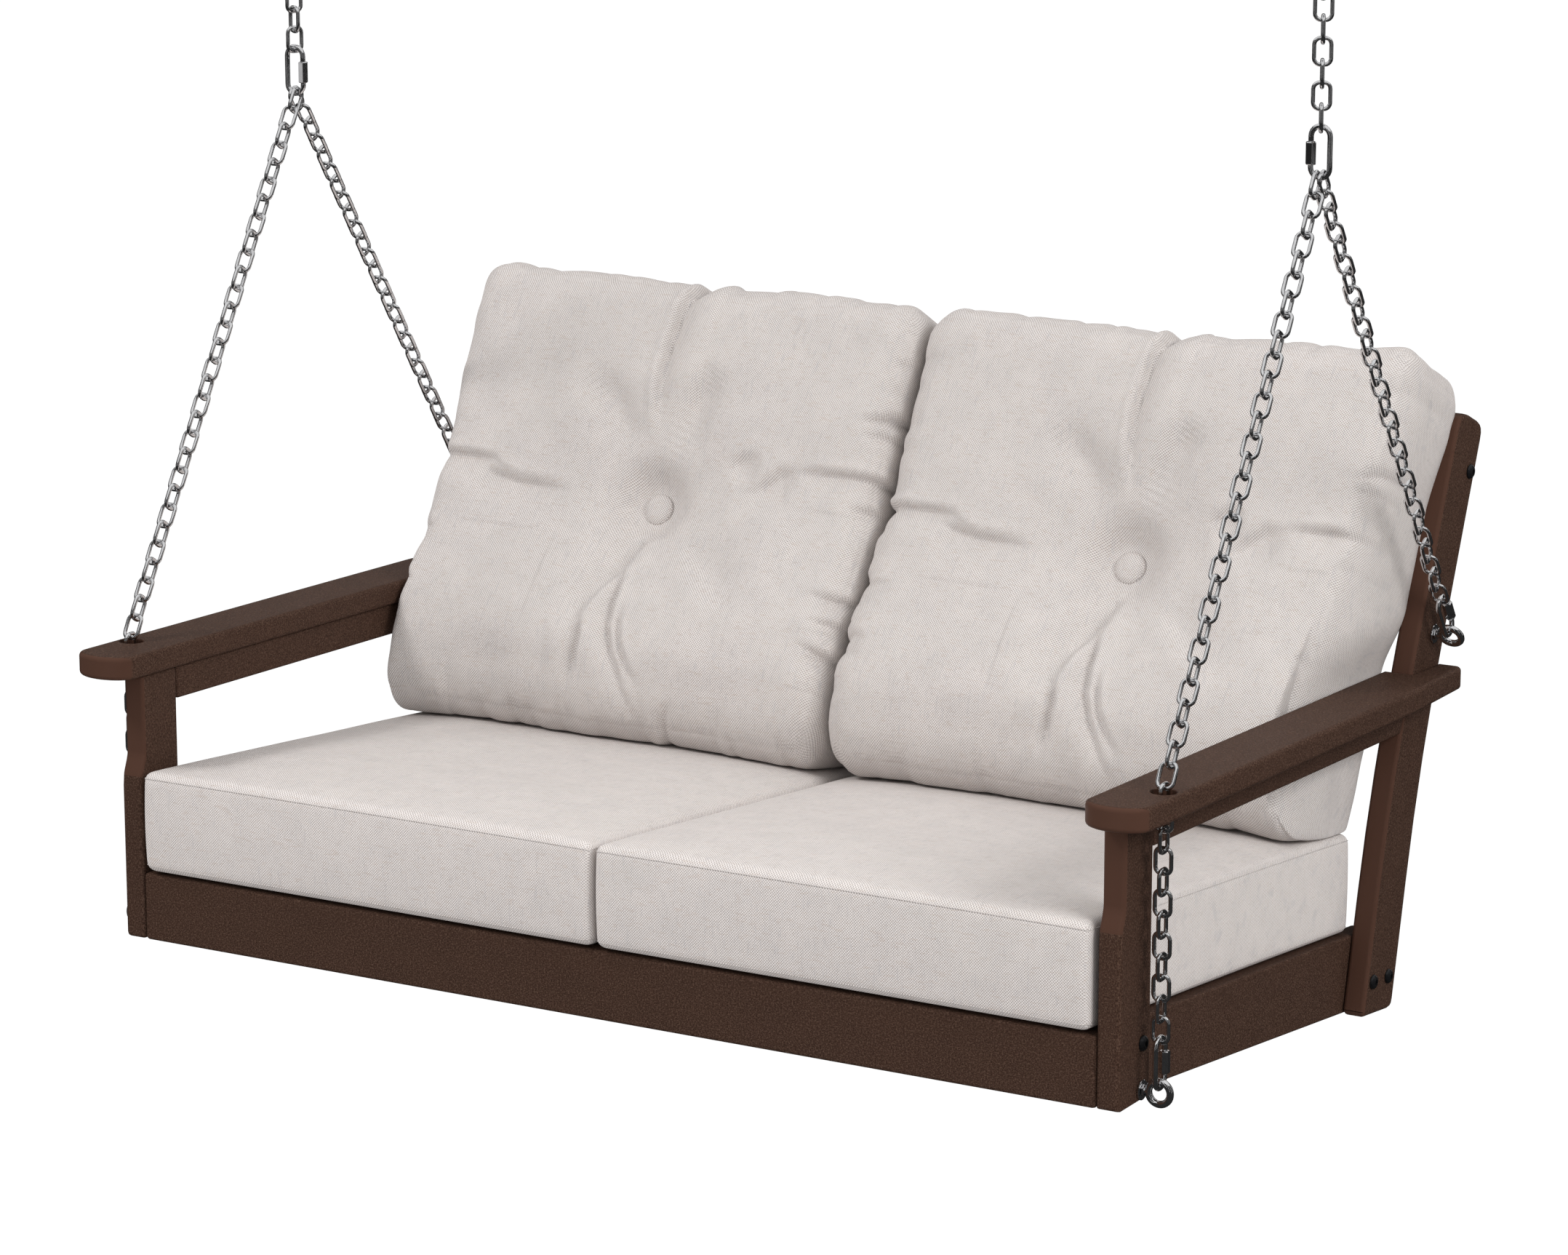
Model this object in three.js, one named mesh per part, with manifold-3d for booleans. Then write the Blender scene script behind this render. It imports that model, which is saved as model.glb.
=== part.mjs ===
// A two-seat porch swing of plastic lumber boards, hung on chains, with two seat and two back cushions.
// Millimetres, +Z up, front towards -Y. Heights and depths are worked out in the seat's own frame: y = 0
// is the front of the front apron, z = 0 its lower edge. The finished group is moved so that the origin
// is on the ceiling, midway between the two ceiling fittings.
import * as THREE from "three";
import { mergeVertices } from "three/addons/utils/BufferGeometryUtils.js";
import Module from "manifold-3d";

const wasm = await Module();
wasm.setup();

// ---------------------------------------------------------------- driving dimensions
const BOARD = 27; // thickness of every plastic lumber board
const INNER = 609.6; // half the clear width between the posts: two 24 inch cushions
const OUTER = INNER + BOARD;
const GAP = 0.3; // left between pieces that touch

const ARM = { inner: 602, outer: 677, under: 310, slope: -0.034, front: -40, bow: 28 };
const ARM_END = { taperFrom: 640, rear: 803, rearOuter: 668, corner: 7 };
const ARM_HOLE_R = 14;
const RAIL_H = 39; // board under the arm
const POST = { back: 73.6, stepFrom: 186, stepTo: 220, setBack: 9 };
const LEG = { foot: 618.4, footZ: -65.7, bendFrom: 70, bendTo: 340, lower: 0.24, upper: 0.43 };
const LEG_SIZE = { deepLow: 83, deepHigh: 80, topZ: 597, frontRound: 28, backRound: 18, footRound: 12 };
const APRON = { height: 79.4, topAt0: 82, topSlope: -0.094, bottomAt0: 2.5, bottomSlope: -0.1105 };
const SIDE_APRON_REAR = 700;
const BACK = { y: 668, z: -25, slope: 0.327 };
const BACK_SLAT = { thick: 18, width: 88, count: 4, pitch: 290, top: 572, bottom: -52 };
const TOP_RAIL = { z: 519.5, height: 84 };
const SEAT_SLAT = { count: 5, width: 98, gap: 20, thick: BOARD, first: 31 };
const JOIST_H = 50;
const STIFFENER = { half: 560, front: 29, thick: 28.95, low: 6, high: 44 }; // steel, also balances the seat
const SEAT_CUSHION = { front: -8, rear: 648, thick: 116, inner: 2.5, outer: 604 };
const BACK_CUSHION = {
  inner: 2,
  outer: 600,
  outerAboveArm: 638,
  armRow: 3,
  low: [556, 152],
  high: [811, 652],
  front: 84,
  rear: 56,
};
const BUTTON = { r: 19, thick: 7, out: 38 };

const CHAIN = { x: 657.8, y: 400, wire: 2.3, halfWidth: 9.1, pitch: 23.2, upperLinks: 7 };
const CHAIN_RIB = 2; // rib of the plus-shaped bars that stand for a run of links
const LINK = { length: 61, halfWidth: 11, wire: 3, gapAt: -9, gapHalf: 3 };
const SLEEVE = { length: 24.5, flats: 10.4, bore: 3.6, at: -1.75 };
const EYE = { ring: 12.5, wire: 4, shank: 4, washer: 11, washerT: 2, nutFlats: 14, nutT: 5 };
const FRONT_EYE = { y: 52, z: 11.5 };
const REAR_EYE = { y: 789, z: 347 };
const PIVOT_Z = 923.5; // wire of the upper quick links, from which both lower chains hang
const LOWER_CHAIN_START = 24;
const CEILING_PLATE = { r: 32, thick: 5, neck: 9 };
const BOLT = { head: 8.5, headT: 5, shank: 4, deep: 52 };
const LEG_TOP_BOLT = { y: 880, z: TOP_RAIL.z };
const POST_BOLT = { y: 53, z: 62 };
const BOLT_CLEARANCE = 0.4;

// ---------------------------------------------------------------- materials
const colours = { lumber: 0x38251b, fabric: 0xcfc5bd, chrome: 0xd9dadc, bolt: 0x17171a };
const look = (color, roughness, metalness) => new THREE.MeshStandardMaterial({ color, roughness, metalness });
const lumber = () => look(colours.lumber, 0.6, 0);
const fabric = () => look(colours.fabric, 0.95, 0);
const chrome = () => look(colours.chrome, 0.1, 1);
const blackSteel = () => look(colours.bolt, 0.4, 0.8);

// ---------------------------------------------------------------- solids
const v2 = (x, y) => new THREE.Vector2(x, y);
const v3 = (x, y, z) => new THREE.Vector3(x, y, z);

function toSolid(geometry) {
  const bare = geometry.index ? geometry.toNonIndexed() : geometry.clone();
  const flat = new THREE.BufferGeometry().setAttribute("position", bare.getAttribute("position"));
  const merged = mergeVertices(flat, 1e-3);
  const triVerts = new Uint32Array(merged.index.array);
  const vertProperties = merged.attributes.position.array;
  return new wasm.Manifold(new wasm.Mesh({ numProp: 3, vertProperties, triVerts }));
}

function toGeometry(solid) {
  const { vertProperties, triVerts } = solid.getMesh();
  return new THREE.BufferGeometry()
    .setAttribute("position", new THREE.BufferAttribute(new Float32Array(vertProperties), 3))
    .setIndex(new THREE.BufferAttribute(new Uint32Array(triVerts), 1));
}

const cut = (base, ...tools) =>
  toGeometry(tools.reduce((solid, tool) => solid.subtract(toSolid(tool)), toSolid(base)));
const join = (first, ...rest) =>
  toGeometry(rest.reduce((solid, piece) => solid.add(toSolid(piece)), toSolid(first)));

// A closed outline of [y, z] points, extruded along X from x0 to x1.
function alongX(points, x0, x1) {
  const shape = new THREE.Shape(points.map(([y, z]) => v2(y, z)));
  const geometry = new THREE.ExtrudeGeometry(shape, { depth: x1 - x0, bevelEnabled: false });
  const turn = new THREE.Matrix4().makeBasis(v3(0, 1, 0), v3(0, 0, 1), v3(1, 0, 0));
  return geometry.applyMatrix4(turn).translate(x0, 0, 0);
}

const box = (x0, x1, y0, y1, z0, z1) =>
  new THREE.BoxGeometry(x1 - x0, y1 - y0, z1 - z0).translate((x0 + x1) / 2, (y0 + y1) / 2, (z0 + z1) / 2);
const rodX = (r, x0, x1, y, z, sides = 12) =>
  new THREE.CylinderGeometry(r, r, x1 - x0, sides).rotateZ(Math.PI / 2).translate((x0 + x1) / 2, y, z);
const rodZ = (r, z0, z1, sides = 16) =>
  new THREE.CylinderGeometry(r, r, z1 - z0, sides).rotateX(Math.PI / 2).translate(0, 0, (z0 + z1) / 2);

// A section of [across, in-plane] points swept along a flat path. across is the path plane's normal.
function sweep(path, section, across, closed = false) {
  const count = path.length;
  const positions = [];
  const faces = [];
  for (let i = 0; i < count; i += 1) {
    const before = path[closed ? (i + count - 1) % count : Math.max(i - 1, 0)];
    const after = path[closed ? (i + 1) % count : Math.min(i + 1, count - 1)];
    const arriving = path[i].clone().sub(before).normalize();
    const leaving = after.clone().sub(path[i]).normalize();
    const tangent = arriving.clone().add(leaving).normalize();
    const ends = !closed && (i === 0 || i === count - 1);
    const stretch = ends ? 1 : 1 / Math.max(0.5, tangent.dot(leaving));
    const sideways = tangent.clone().cross(across);
    section.forEach(([a, b]) => {
      const point = path[i].clone().addScaledVector(across, a).addScaledVector(sideways, b * stretch);
      positions.push(point.x, point.y, point.z);
    });
  }
  const n = section.length;
  for (let i = 0; i < (closed ? count : count - 1); i += 1) {
    const next = (i + 1) % count;
    for (let k = 0; k < n; k += 1) {
      const [a, b] = [i * n + k, i * n + ((k + 1) % n)];
      const [c, d] = [next * n + k, next * n + ((k + 1) % n)];
      faces.push(a, b, d, a, d, c);
    }
  }
  if (!closed) {
    const cap = THREE.ShapeUtils.triangulateShape(section.map(([a, b]) => v2(a, b)), []);
    cap.forEach(([a, b, c]) => faces.push(a, c, b));
    const last = (count - 1) * n;
    cap.forEach(([a, b, c]) => faces.push(last + a, last + b, last + c));
  }
  return new THREE.BufferGeometry()
    .setAttribute("position", new THREE.Float32BufferAttribute(positions, 3))
    .setIndex(faces);
}

const round = (r, sides) =>
  Array.from({ length: sides }, (_, i) => {
    const angle = ((i + 0.5) / sides) * 2 * Math.PI;
    return [r * Math.cos(angle), r * Math.sin(angle)];
  });

// [x, y] points of an arc about (cx, cy), angles in degrees.
function arc(cx, cy, rx, ry, from, to, steps) {
  return Array.from({ length: steps + 1 }, (_, i) => {
    const angle = THREE.MathUtils.degToRad(from + ((to - from) * i) / steps);
    return [cx + rx * Math.cos(angle), cy + ry * Math.sin(angle)];
  });
}

// The outline's corner at b, cut to a round of radius r between its neighbours a and c.
function roundCorner(a, b, c, r, steps = 4) {
  const [A, B, C] = [a, b, c].map(([x, y]) => v2(x, y));
  const [toA, toC] = [A.clone().sub(B).normalize(), C.clone().sub(B).normalize()];
  const half = toA.angleTo(toC) / 2;
  const start = B.clone().addScaledVector(toA, r / Math.tan(half));
  const end = B.clone().addScaledVector(toC, r / Math.tan(half));
  const curve = new THREE.QuadraticBezierCurve(start, B, end);
  return curve.getPoints(steps).map((p) => [p.x, p.y]);
}

function node(name, geometry, material) {
  const mesh = new THREE.Mesh(geometry, material);
  mesh.name = name;
  return mesh;
}

// ---------------------------------------------------------------- lines of the frame
const armUnder = (y) => ARM.under + ARM.slope * y;
const armTop = (y) => armUnder(y) + BOARD;
const apronTop = (y) => APRON.topAt0 + APRON.topSlope * y;
const apronBottom = (y) => APRON.bottomAt0 + APRON.bottomSlope * y;
const backFace = (z) => BACK.y + BACK.slope * (z - BACK.z); // front of the back slats
const backTilt = Math.atan(BACK.slope);

// Front edge of the back leg: straight, then an even bend, then straight again and leaning more.
function legFront(z) {
  const { foot, footZ, bendFrom, bendTo, lower, upper } = LEG;
  const into = THREE.MathUtils.clamp((z - bendFrom) / (bendTo - bendFrom), 0, 1);
  const bent = ((upper - lower) / 2) * into * into * (bendTo - bendFrom);
  return foot + lower * (z - footZ) + bent + (upper - lower) * Math.max(0, z - bendTo);
}
function legBack(z) {
  const share = THREE.MathUtils.clamp(z / LEG_SIZE.topZ, 0, 1);
  return legFront(z) + THREE.MathUtils.lerp(LEG_SIZE.deepLow, LEG_SIZE.deepHigh, share);
}

// ---------------------------------------------------------------- side frames
function frontPost() {
  const { back, stepFrom, stepTo, setBack } = POST;
  const rise = stepTo - stepFrom;
  const step = Array.from({ length: 7 }, (_, i) => {
    const t = i / 6;
    return [setBack * (0.5 - 0.5 * Math.cos(Math.PI * t)), stepFrom + rise * t];
  });
  const outline = [[back, 0], [back, armUnder(back) - GAP], [setBack, armUnder(setBack) - GAP]];
  outline.push(...step.reverse(), [0, 0]);
  return cut(
    alongX(outline, INNER, OUTER),
    rodX(EYE.shank + BOLT_CLEARANCE, INNER - 1, OUTER + 1, FRONT_EYE.y, FRONT_EYE.z),
    rodX(BOLT.shank + BOLT_CLEARANCE, INNER - 1, OUTER + 1, POST_BOLT.y, POST_BOLT.z),
  );
}

function backLeg() {
  const { topZ, frontRound, backRound, footRound } = LEG_SIZE;
  const squareEnd = LEG.upper; // the top is cut square to the leaning edge
  const frontTop = [legFront(topZ), topZ];
  const deep = LEG_SIZE.deepHigh / (1 + squareEnd * squareEnd);
  const backTop = [frontTop[0] + deep, topZ - deep * squareEnd];
  const foot = [LEG.foot, LEG.footZ];
  const heel = [LEG.foot + LEG_SIZE.deepLow - 2, LEG.footZ + APRON.bottomSlope * LEG_SIZE.deepLow];
  const heights = [LEG.bendFrom, 137, 205, 272, LEG.bendTo];
  const frontEdge = heights.map((z) => [legFront(z), z]);
  const backEdge = heights.map((z) => [legBack(z), z]);
  const outline = [
    ...roundCorner(frontEdge[0], foot, heel, 5, 2),
    ...roundCorner(foot, heel, backEdge[0], footRound, 3),
    ...backEdge,
    ...roundCorner(backEdge[4], backTop, frontTop, backRound),
    ...roundCorner(backTop, frontTop, frontEdge[4], frontRound),
    ...frontEdge.reverse(),
  ];
  return cut(
    alongX(outline, INNER, OUTER),
    rodX(EYE.shank + BOLT_CLEARANCE, INNER - 1, OUTER + 1, REAR_EYE.y, REAR_EYE.z),
    rodX(BOLT.shank + BOLT_CLEARANCE, INNER - 1, OUTER + 1, LEG_TOP_BOLT.y, LEG_TOP_BOLT.z),
  );
}

function armRail() {
  const front = POST.back + GAP;
  const rearLow = legFront(armUnder(710) - RAIL_H) - 2 * GAP;
  const rearTop = legFront(armUnder(722)) - 2 * GAP;
  const outline = [
    [front, armUnder(front) - RAIL_H],
    [rearLow, armUnder(rearLow) - RAIL_H],
    [rearTop, armUnder(rearTop) - GAP],
    [front, armUnder(front) - GAP],
  ];
  return alongX(outline, INNER, OUTER);
}

// The arm in plan: a bowed front end, a round hole for the chain, a tapering tail past the leg.
function armBoard() {
  const { inner, outer, front, bow } = ARM;
  const { taperFrom, rear, rearOuter, corner } = ARM_END;
  const middle = (inner + outer) / 2;
  const nose = arc(middle, front + bow, (outer - inner) / 2, bow, 180, 360, 12);
  const tail = roundCorner([outer, taperFrom], [rearOuter, rear], [inner, rear], corner, 3);
  const outline = [...nose, [outer, taperFrom], ...tail, [inner, rear]];
  const shape = new THREE.Shape(outline.map(([x, y]) => v2(x, y)));
  const hole = arc(CHAIN.x - 1, FRONT_EYE.y, ARM_HOLE_R, ARM_HOLE_R, 0, 342, 19);
  shape.holes.push(new THREE.Path(hole.map(([x, y]) => v2(x, y))));
  const board = new THREE.ExtrudeGeometry(shape, { depth: BOARD, bevelEnabled: false });
  const lean = new THREE.Matrix4().set(1, 0, 0, 0, 0, 1, 0, 0, 0, ARM.slope, 1, ARM.under, 0, 0, 0, 1);
  board.applyMatrix4(lean);
  const notchHeights = [240, 272, 290, 305, 322, LEG.bendTo, 360];
  const notch = notchHeights.map((z) => [legFront(z) - 2 * GAP, z]);
  notch.push([rear + 60, 360], [rear + 60, 240]);
  return cut(board, alongX(notch, inner - 20, OUTER + GAP));
}

function sideApron() {
  const front = BOARD + GAP;
  const rear = SIDE_APRON_REAR;
  const outline = [
    [front, apronBottom(front)],
    [rear, apronBottom(rear)],
    [rear, apronTop(rear)],
    [front, apronTop(front)],
  ];
  const [inside, outside] = [INNER - GAP - BOARD, INNER - GAP];
  return cut(
    alongX(outline, inside, outside),
    rodX(EYE.shank + BOLT_CLEARANCE, inside - 1, outside + 1, FRONT_EYE.y, FRONT_EYE.z),
    rodX(BOLT.shank + BOLT_CLEARANCE, inside - 1, outside + 1, POST_BOLT.y, POST_BOLT.z),
  );
}

// ---------------------------------------------------------------- cross pieces
const frontApron = () => box(-INNER + GAP, INNER - GAP, 0, BOARD, 0, APRON.height);

function rearApron() {
  const edge = INNER - BOARD - 2 * GAP;
  const [low, high] = [apronBottom(660) + 16, apronTop(640) - 2];
  const outline = [
    [backFace(low) - BOARD - GAP, low],
    [backFace(low) - GAP, low],
    [backFace(high) - GAP, high],
    [backFace(high) - BOARD - GAP, high],
  ];
  return alongX(outline, -edge, edge);
}

// A board whose section stands along the back's lean, from height z0 to z1, from `behind` the slats' face.
function backBoard(x0, x1, z0, z1, behind, thick) {
  const outline = [
    [backFace(z0) + behind, z0],
    [backFace(z0) + behind + thick, z0],
    [backFace(z1) + behind + thick, z1],
    [backFace(z1) + behind, z1],
  ];
  return alongX(outline, x0, x1);
}

function backTopRail() {
  const edge = INNER - GAP;
  const half = TOP_RAIL.height / 2;
  const behind = BACK_SLAT.thick / Math.cos(backTilt) + GAP;
  const rail = backBoard(-edge, edge, TOP_RAIL.z - half, TOP_RAIL.z + half, behind, BOARD);
  const depth = [edge - (BOLT.deep - BOARD) - 2, edge + 1];
  const hole = (x0, x1) => rodX(BOLT.shank + BOLT_CLEARANCE, x0, x1, LEG_TOP_BOLT.y, LEG_TOP_BOLT.z);
  return cut(rail, hole(depth[0], depth[1]), hole(-depth[1], -depth[0]));
}

const seatSlatTop = (y) => apronTop(y) - 1;

function seatSlat(index) {
  const edge = INNER - BOARD - 2 * GAP;
  const front = SEAT_SLAT.first + index * (SEAT_SLAT.width + SEAT_SLAT.gap);
  const rear = front + SEAT_SLAT.width;
  const outline = [
    [front, seatSlatTop(front) - SEAT_SLAT.thick],
    [rear, seatSlatTop(rear) - SEAT_SLAT.thick],
    [rear, seatSlatTop(rear)],
    [front, seatSlatTop(front)],
  ];
  return alongX(outline, -edge, edge);
}

function centreJoist() {
  const front = STIFFENER.front + STIFFENER.thick + GAP;
  const rear = backFace(apronBottom(640)) - BOARD - 8;
  const top = (y) => seatSlatTop(y) - SEAT_SLAT.thick - GAP;
  const outline = [
    [front, top(front) - JOIST_H],
    [rear, top(rear) - JOIST_H],
    [rear, top(rear)],
    [front, top(front)],
  ];
  return alongX(outline, -BOARD / 2, BOARD / 2);
}

function frontStiffener() {
  const { half, front, thick, low, high } = STIFFENER;
  return box(-half, half, front, front + thick, low, high);
}

// ---------------------------------------------------------------- cushions
function seatCushion() {
  const { front, rear, thick, inner, outer } = SEAT_CUSHION;
  const outline = [
    [front, apronTop(front) + 1],
    [rear, apronTop(rear) + 1],
    [rear, apronTop(rear) + thick],
    [front, apronTop(front) + thick],
  ];
  return alongX(outline, inner, outer);
}

// A pillow about its seam's plane: knife edges, a deep front and rear, a tuft under the button, and
// wider above the arms than between them.
const SEAM_LENGTH = Math.hypot(
  BACK_CUSHION.high[0] - BACK_CUSHION.low[0],
  BACK_CUSHION.high[1] - BACK_CUSHION.low[1],
);
const seamUp = v3(
  0,
  (BACK_CUSHION.high[0] - BACK_CUSHION.low[0]) / SEAM_LENGTH,
  (BACK_CUSHION.high[1] - BACK_CUSHION.low[1]) / SEAM_LENGTH,
);
const seamOut = v3(0, -seamUp.z, seamUp.y); // towards the sitter

function seamPoint(x, along, out) {
  const base = v3(x, BACK_CUSHION.low[0], BACK_CUSHION.low[1]);
  return base.addScaledVector(seamUp, along).addScaledVector(seamOut, out);
}

function backCushion() {
  const { inner, outer, outerAboveArm, armRow, front, rear } = BACK_CUSHION;
  const cells = 8;
  const tuft = { depth: front - BUTTON.out + 6, width: 0.3 };
  const full = (t) => Math.pow(Math.sin(Math.PI * t), 0.45);
  const positions = [];
  const faces = [];
  const index = {};
  const add = (i, j, side) => {
    const rim = i === 0 || j === 0 || i === cells || j === cells;
    const key = [i, j, rim ? 0 : side].join();
    if (!(key in index)) {
      const [u, v] = [i / cells, j / cells];
      const swell = rim ? 0 : full(u) * full(v);
      const dip = Math.exp(-((u - 0.5) ** 2 + (v - 0.5) ** 2) / (tuft.width / 2) ** 2 / 2) * tuft.depth;
      const out = side > 0 ? swell * front - dip * (rim ? 0 : 1) : -swell * rear;
      const edge = j > armRow ? outerAboveArm : outer;
      const point = seamPoint(inner + (edge - inner) * u, SEAM_LENGTH * v, out);
      index[key] = positions.length / 3;
      positions.push(point.x, point.y, point.z);
    }
    return index[key];
  };
  for (const side of [1, -1]) {
    for (let i = 0; i < cells; i += 1) {
      for (let j = 0; j < cells; j += 1) {
        const quad = [add(i, j, side), add(i + 1, j, side), add(i + 1, j + 1, side), add(i, j + 1, side)];
        const [a, b, c, d] = side > 0 ? quad : quad.reverse();
        faces.push(a, b, c, a, c, d);
      }
    }
  }
  return new THREE.BufferGeometry()
    .setAttribute("position", new THREE.Float32BufferAttribute(positions, 3))
    .setIndex(faces);
}

function cushionButton() {
  const disc = rodZ(BUTTON.r, 0, BUTTON.thick, 20);
  const x = (BACK_CUSHION.inner + BACK_CUSHION.outerAboveArm) / 2;
  const middle = seamPoint(x, SEAM_LENGTH / 2, BUTTON.out);
  const turn = new THREE.Matrix4().makeBasis(v3(1, 0, 0), seamUp.clone(), seamOut.clone());
  return disc.applyMatrix4(turn).translate(middle.x, middle.y, middle.z);
}

// ---------------------------------------------------------------- chains and their fittings
// A loop of wire in the XZ plane: centreline half width w, half length h. Starts at `from` on the +X side.
function loopPath(w, h, from, to, steps) {
  const straight = h - w;
  const top = arc(0, straight, w, w, 0, 180, steps);
  const bottom = arc(0, -straight, w, w, 180, 360, steps);
  const points = [...top, ...bottom];
  if (from !== null) points.unshift([w, from]);
  if (to !== null) points.push([w, to]);
  return points.map(([x, z]) => v3(x, 0, z));
}

const acrossXZ = v3(0, 1, 0);

function chainLink() {
  const half = (CHAIN.pitch + 2 * CHAIN.wire) / 2;
  return sweep(loopPath(CHAIN.halfWidth, half, null, null, 5), round(CHAIN.wire, 6), acrossXZ, true);
}

// A quick link: the wire is open on its +X side, where the threaded sleeve closes it.
function quickLink() {
  const half = LINK.length / 2 - LINK.wire;
  const path = loopPath(LINK.halfWidth, half, LINK.gapAt + LINK.gapHalf, LINK.gapAt - LINK.gapHalf, 6);
  return sweep(path, round(LINK.wire, 8), acrossXZ);
}

function sleeve() {
  const corner = SLEEVE.flats / 2 / Math.cos(Math.PI / 6);
  const shape = new THREE.Shape(arc(0, 0, corner, corner, 0, 300, 5).map(([x, y]) => v2(x, y)));
  shape.holes.push(new THREE.Path(arc(0, 0, SLEEVE.bore, SLEEVE.bore, 0, 330, 11).map(([x, y]) => v2(x, y))));
  const nut = new THREE.ExtrudeGeometry(shape, { depth: SLEEVE.length, bevelEnabled: false });
  return nut.translate(LINK.halfWidth, 0, SLEEVE.at - SLEEVE.length / 2);
}

const ringOfWire = () => {
  const path = arc(0, 0, EYE.ring, EYE.ring, 0, 337.5, 15).map(([x, z]) => v3(x, 0, z));
  return sweep(path, round(EYE.wire, 8), acrossXZ, true);
};

// An eye bolt with its ring about the origin and its shank along -X, through `deep` of wood to a nut.
function eyeBolt(deep) {
  const face = OUTER - CHAIN.x;
  const nut = (x0) => rodX(EYE.nutFlats / 2 / Math.cos(Math.PI / 6), x0, x0 + EYE.nutT, 0, 0, 6);
  const washer = (x0) => rodX(EYE.washer, x0, x0 + EYE.washerT, 0, 0, 20);
  const back = face - deep;
  return join(
    ringOfWire(),
    rodX(EYE.shank, back - GAP - EYE.washerT - EYE.nutT - 3, -EYE.ring, 0, 0),
    washer(face + GAP),
    nut(face + GAP + EYE.washerT - 0.01),
    washer(back - GAP - EYE.washerT),
    nut(back - GAP - EYE.washerT - EYE.nutT + 0.01),
  );
}

// A ceiling fitting: ring about the origin, a neck and a round plate above it.
function ceilingHook() {
  const neckTop = EYE.ring + CEILING_PLATE.neck;
  return join(
    ringOfWire(),
    rodZ(EYE.shank + 1, EYE.ring, neckTop, 12),
    rodZ(CEILING_PLATE.r, neckTop - 0.01, neckTop + CEILING_PLATE.thick, 28),
  );
}

// The plus-shaped bar that stands for a run of interlocked links: their outer size and their weight.
const plusSection = () => {
  const [w, r] = [CHAIN.halfWidth + CHAIN.wire, CHAIN_RIB / 2];
  const arms = [[w, -r], [w, r], [r, r], [r, w], [-r, w], [-r, r]];
  return [...arms, ...arms.map(([x, y]) => [-x, -y])];
};
const chainBar = (path) => sweep(path, plusSection(), v3(1, 0, 0));

function bolt() {
  return join(
    rodX(BOLT.head, OUTER + GAP, OUTER + GAP + BOLT.headT, 0, 0, 16),
    rodX(BOLT.shank, OUTER - BOLT.deep, OUTER + GAP + 0.01, 0, 0, 10),
  );
}

// ---------------------------------------------------------------- where the chains run
const pivot = v3(CHAIN.x, CHAIN.y, PIVOT_Z);
const linkHold = EYE.ring - EYE.wire - LINK.wire - GAP; // from a ring's middle to the link's wire
const linkReach = LINK.length - 2 * LINK.wire;
const rearDirection = pivot.clone().sub(v3(CHAIN.x, REAR_EYE.y, REAR_EYE.z)).normalize();
const rearTurn = Math.atan2(-rearDirection.y, rearDirection.z);
const upperLinkTop = PIVOT_Z + linkReach;
const hookWireZ = upperLinkTop + CHAIN.upperLinks * CHAIN.pitch - 7;
const topLinkZ = hookWireZ - (CHAIN.pitch / 2 - EYE.wire) + 2 * GAP;
const topLinkLow = topLinkZ - CHAIN.pitch / 2 - 2 * CHAIN.wire;
const hookZ = hookWireZ + EYE.ring;
const CEILING_Z = hookZ + EYE.ring + CEILING_PLATE.neck + CEILING_PLATE.thick;

function frontChainPath() {
  const bend = v3(CHAIN.x, FRONT_EYE.y, armTop(FRONT_EYE.y) + 8);
  const down = bend.clone().sub(pivot).normalize();
  const end = FRONT_EYE.z + linkHold + linkReach + LINK.wire + 1.5;
  return [pivot.clone().addScaledVector(down, LOWER_CHAIN_START), bend, v3(CHAIN.x, FRONT_EYE.y, end)];
}

function rearChainPath() {
  const linkEnd = v3(CHAIN.x, REAR_EYE.y, REAR_EYE.z)
    .addScaledVector(rearDirection, linkHold + linkReach + LINK.wire + 1.5);
  return [pivot.clone().addScaledVector(rearDirection, -LOWER_CHAIN_START), linkEnd];
}

// ---------------------------------------------------------------- assembly
const swing = new THREE.Group();

// A group placed at a point, turned about X and then about Z, holding the given meshes.
function placed(position, turnX, turnZ, meshes) {
  const inner = new THREE.Group();
  inner.rotation.z = turnZ;
  inner.add(...meshes);
  const outer = new THREE.Group();
  outer.rotation.x = turnX;
  outer.position.copy(position);
  outer.add(inner);
  return outer;
}

function boltAt(name, y, z) {
  const mesh = node(name, bolt(), blackSteel());
  mesh.position.set(0, y, z);
  return mesh;
}

function quickLinkWithSleeve(name, middle, turnX, turnZ) {
  return placed(middle, turnX, turnZ, [
    node(name, quickLink(), chrome()),
    node(name + "_sleeve", sleeve(), chrome()),
  ]);
}

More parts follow.
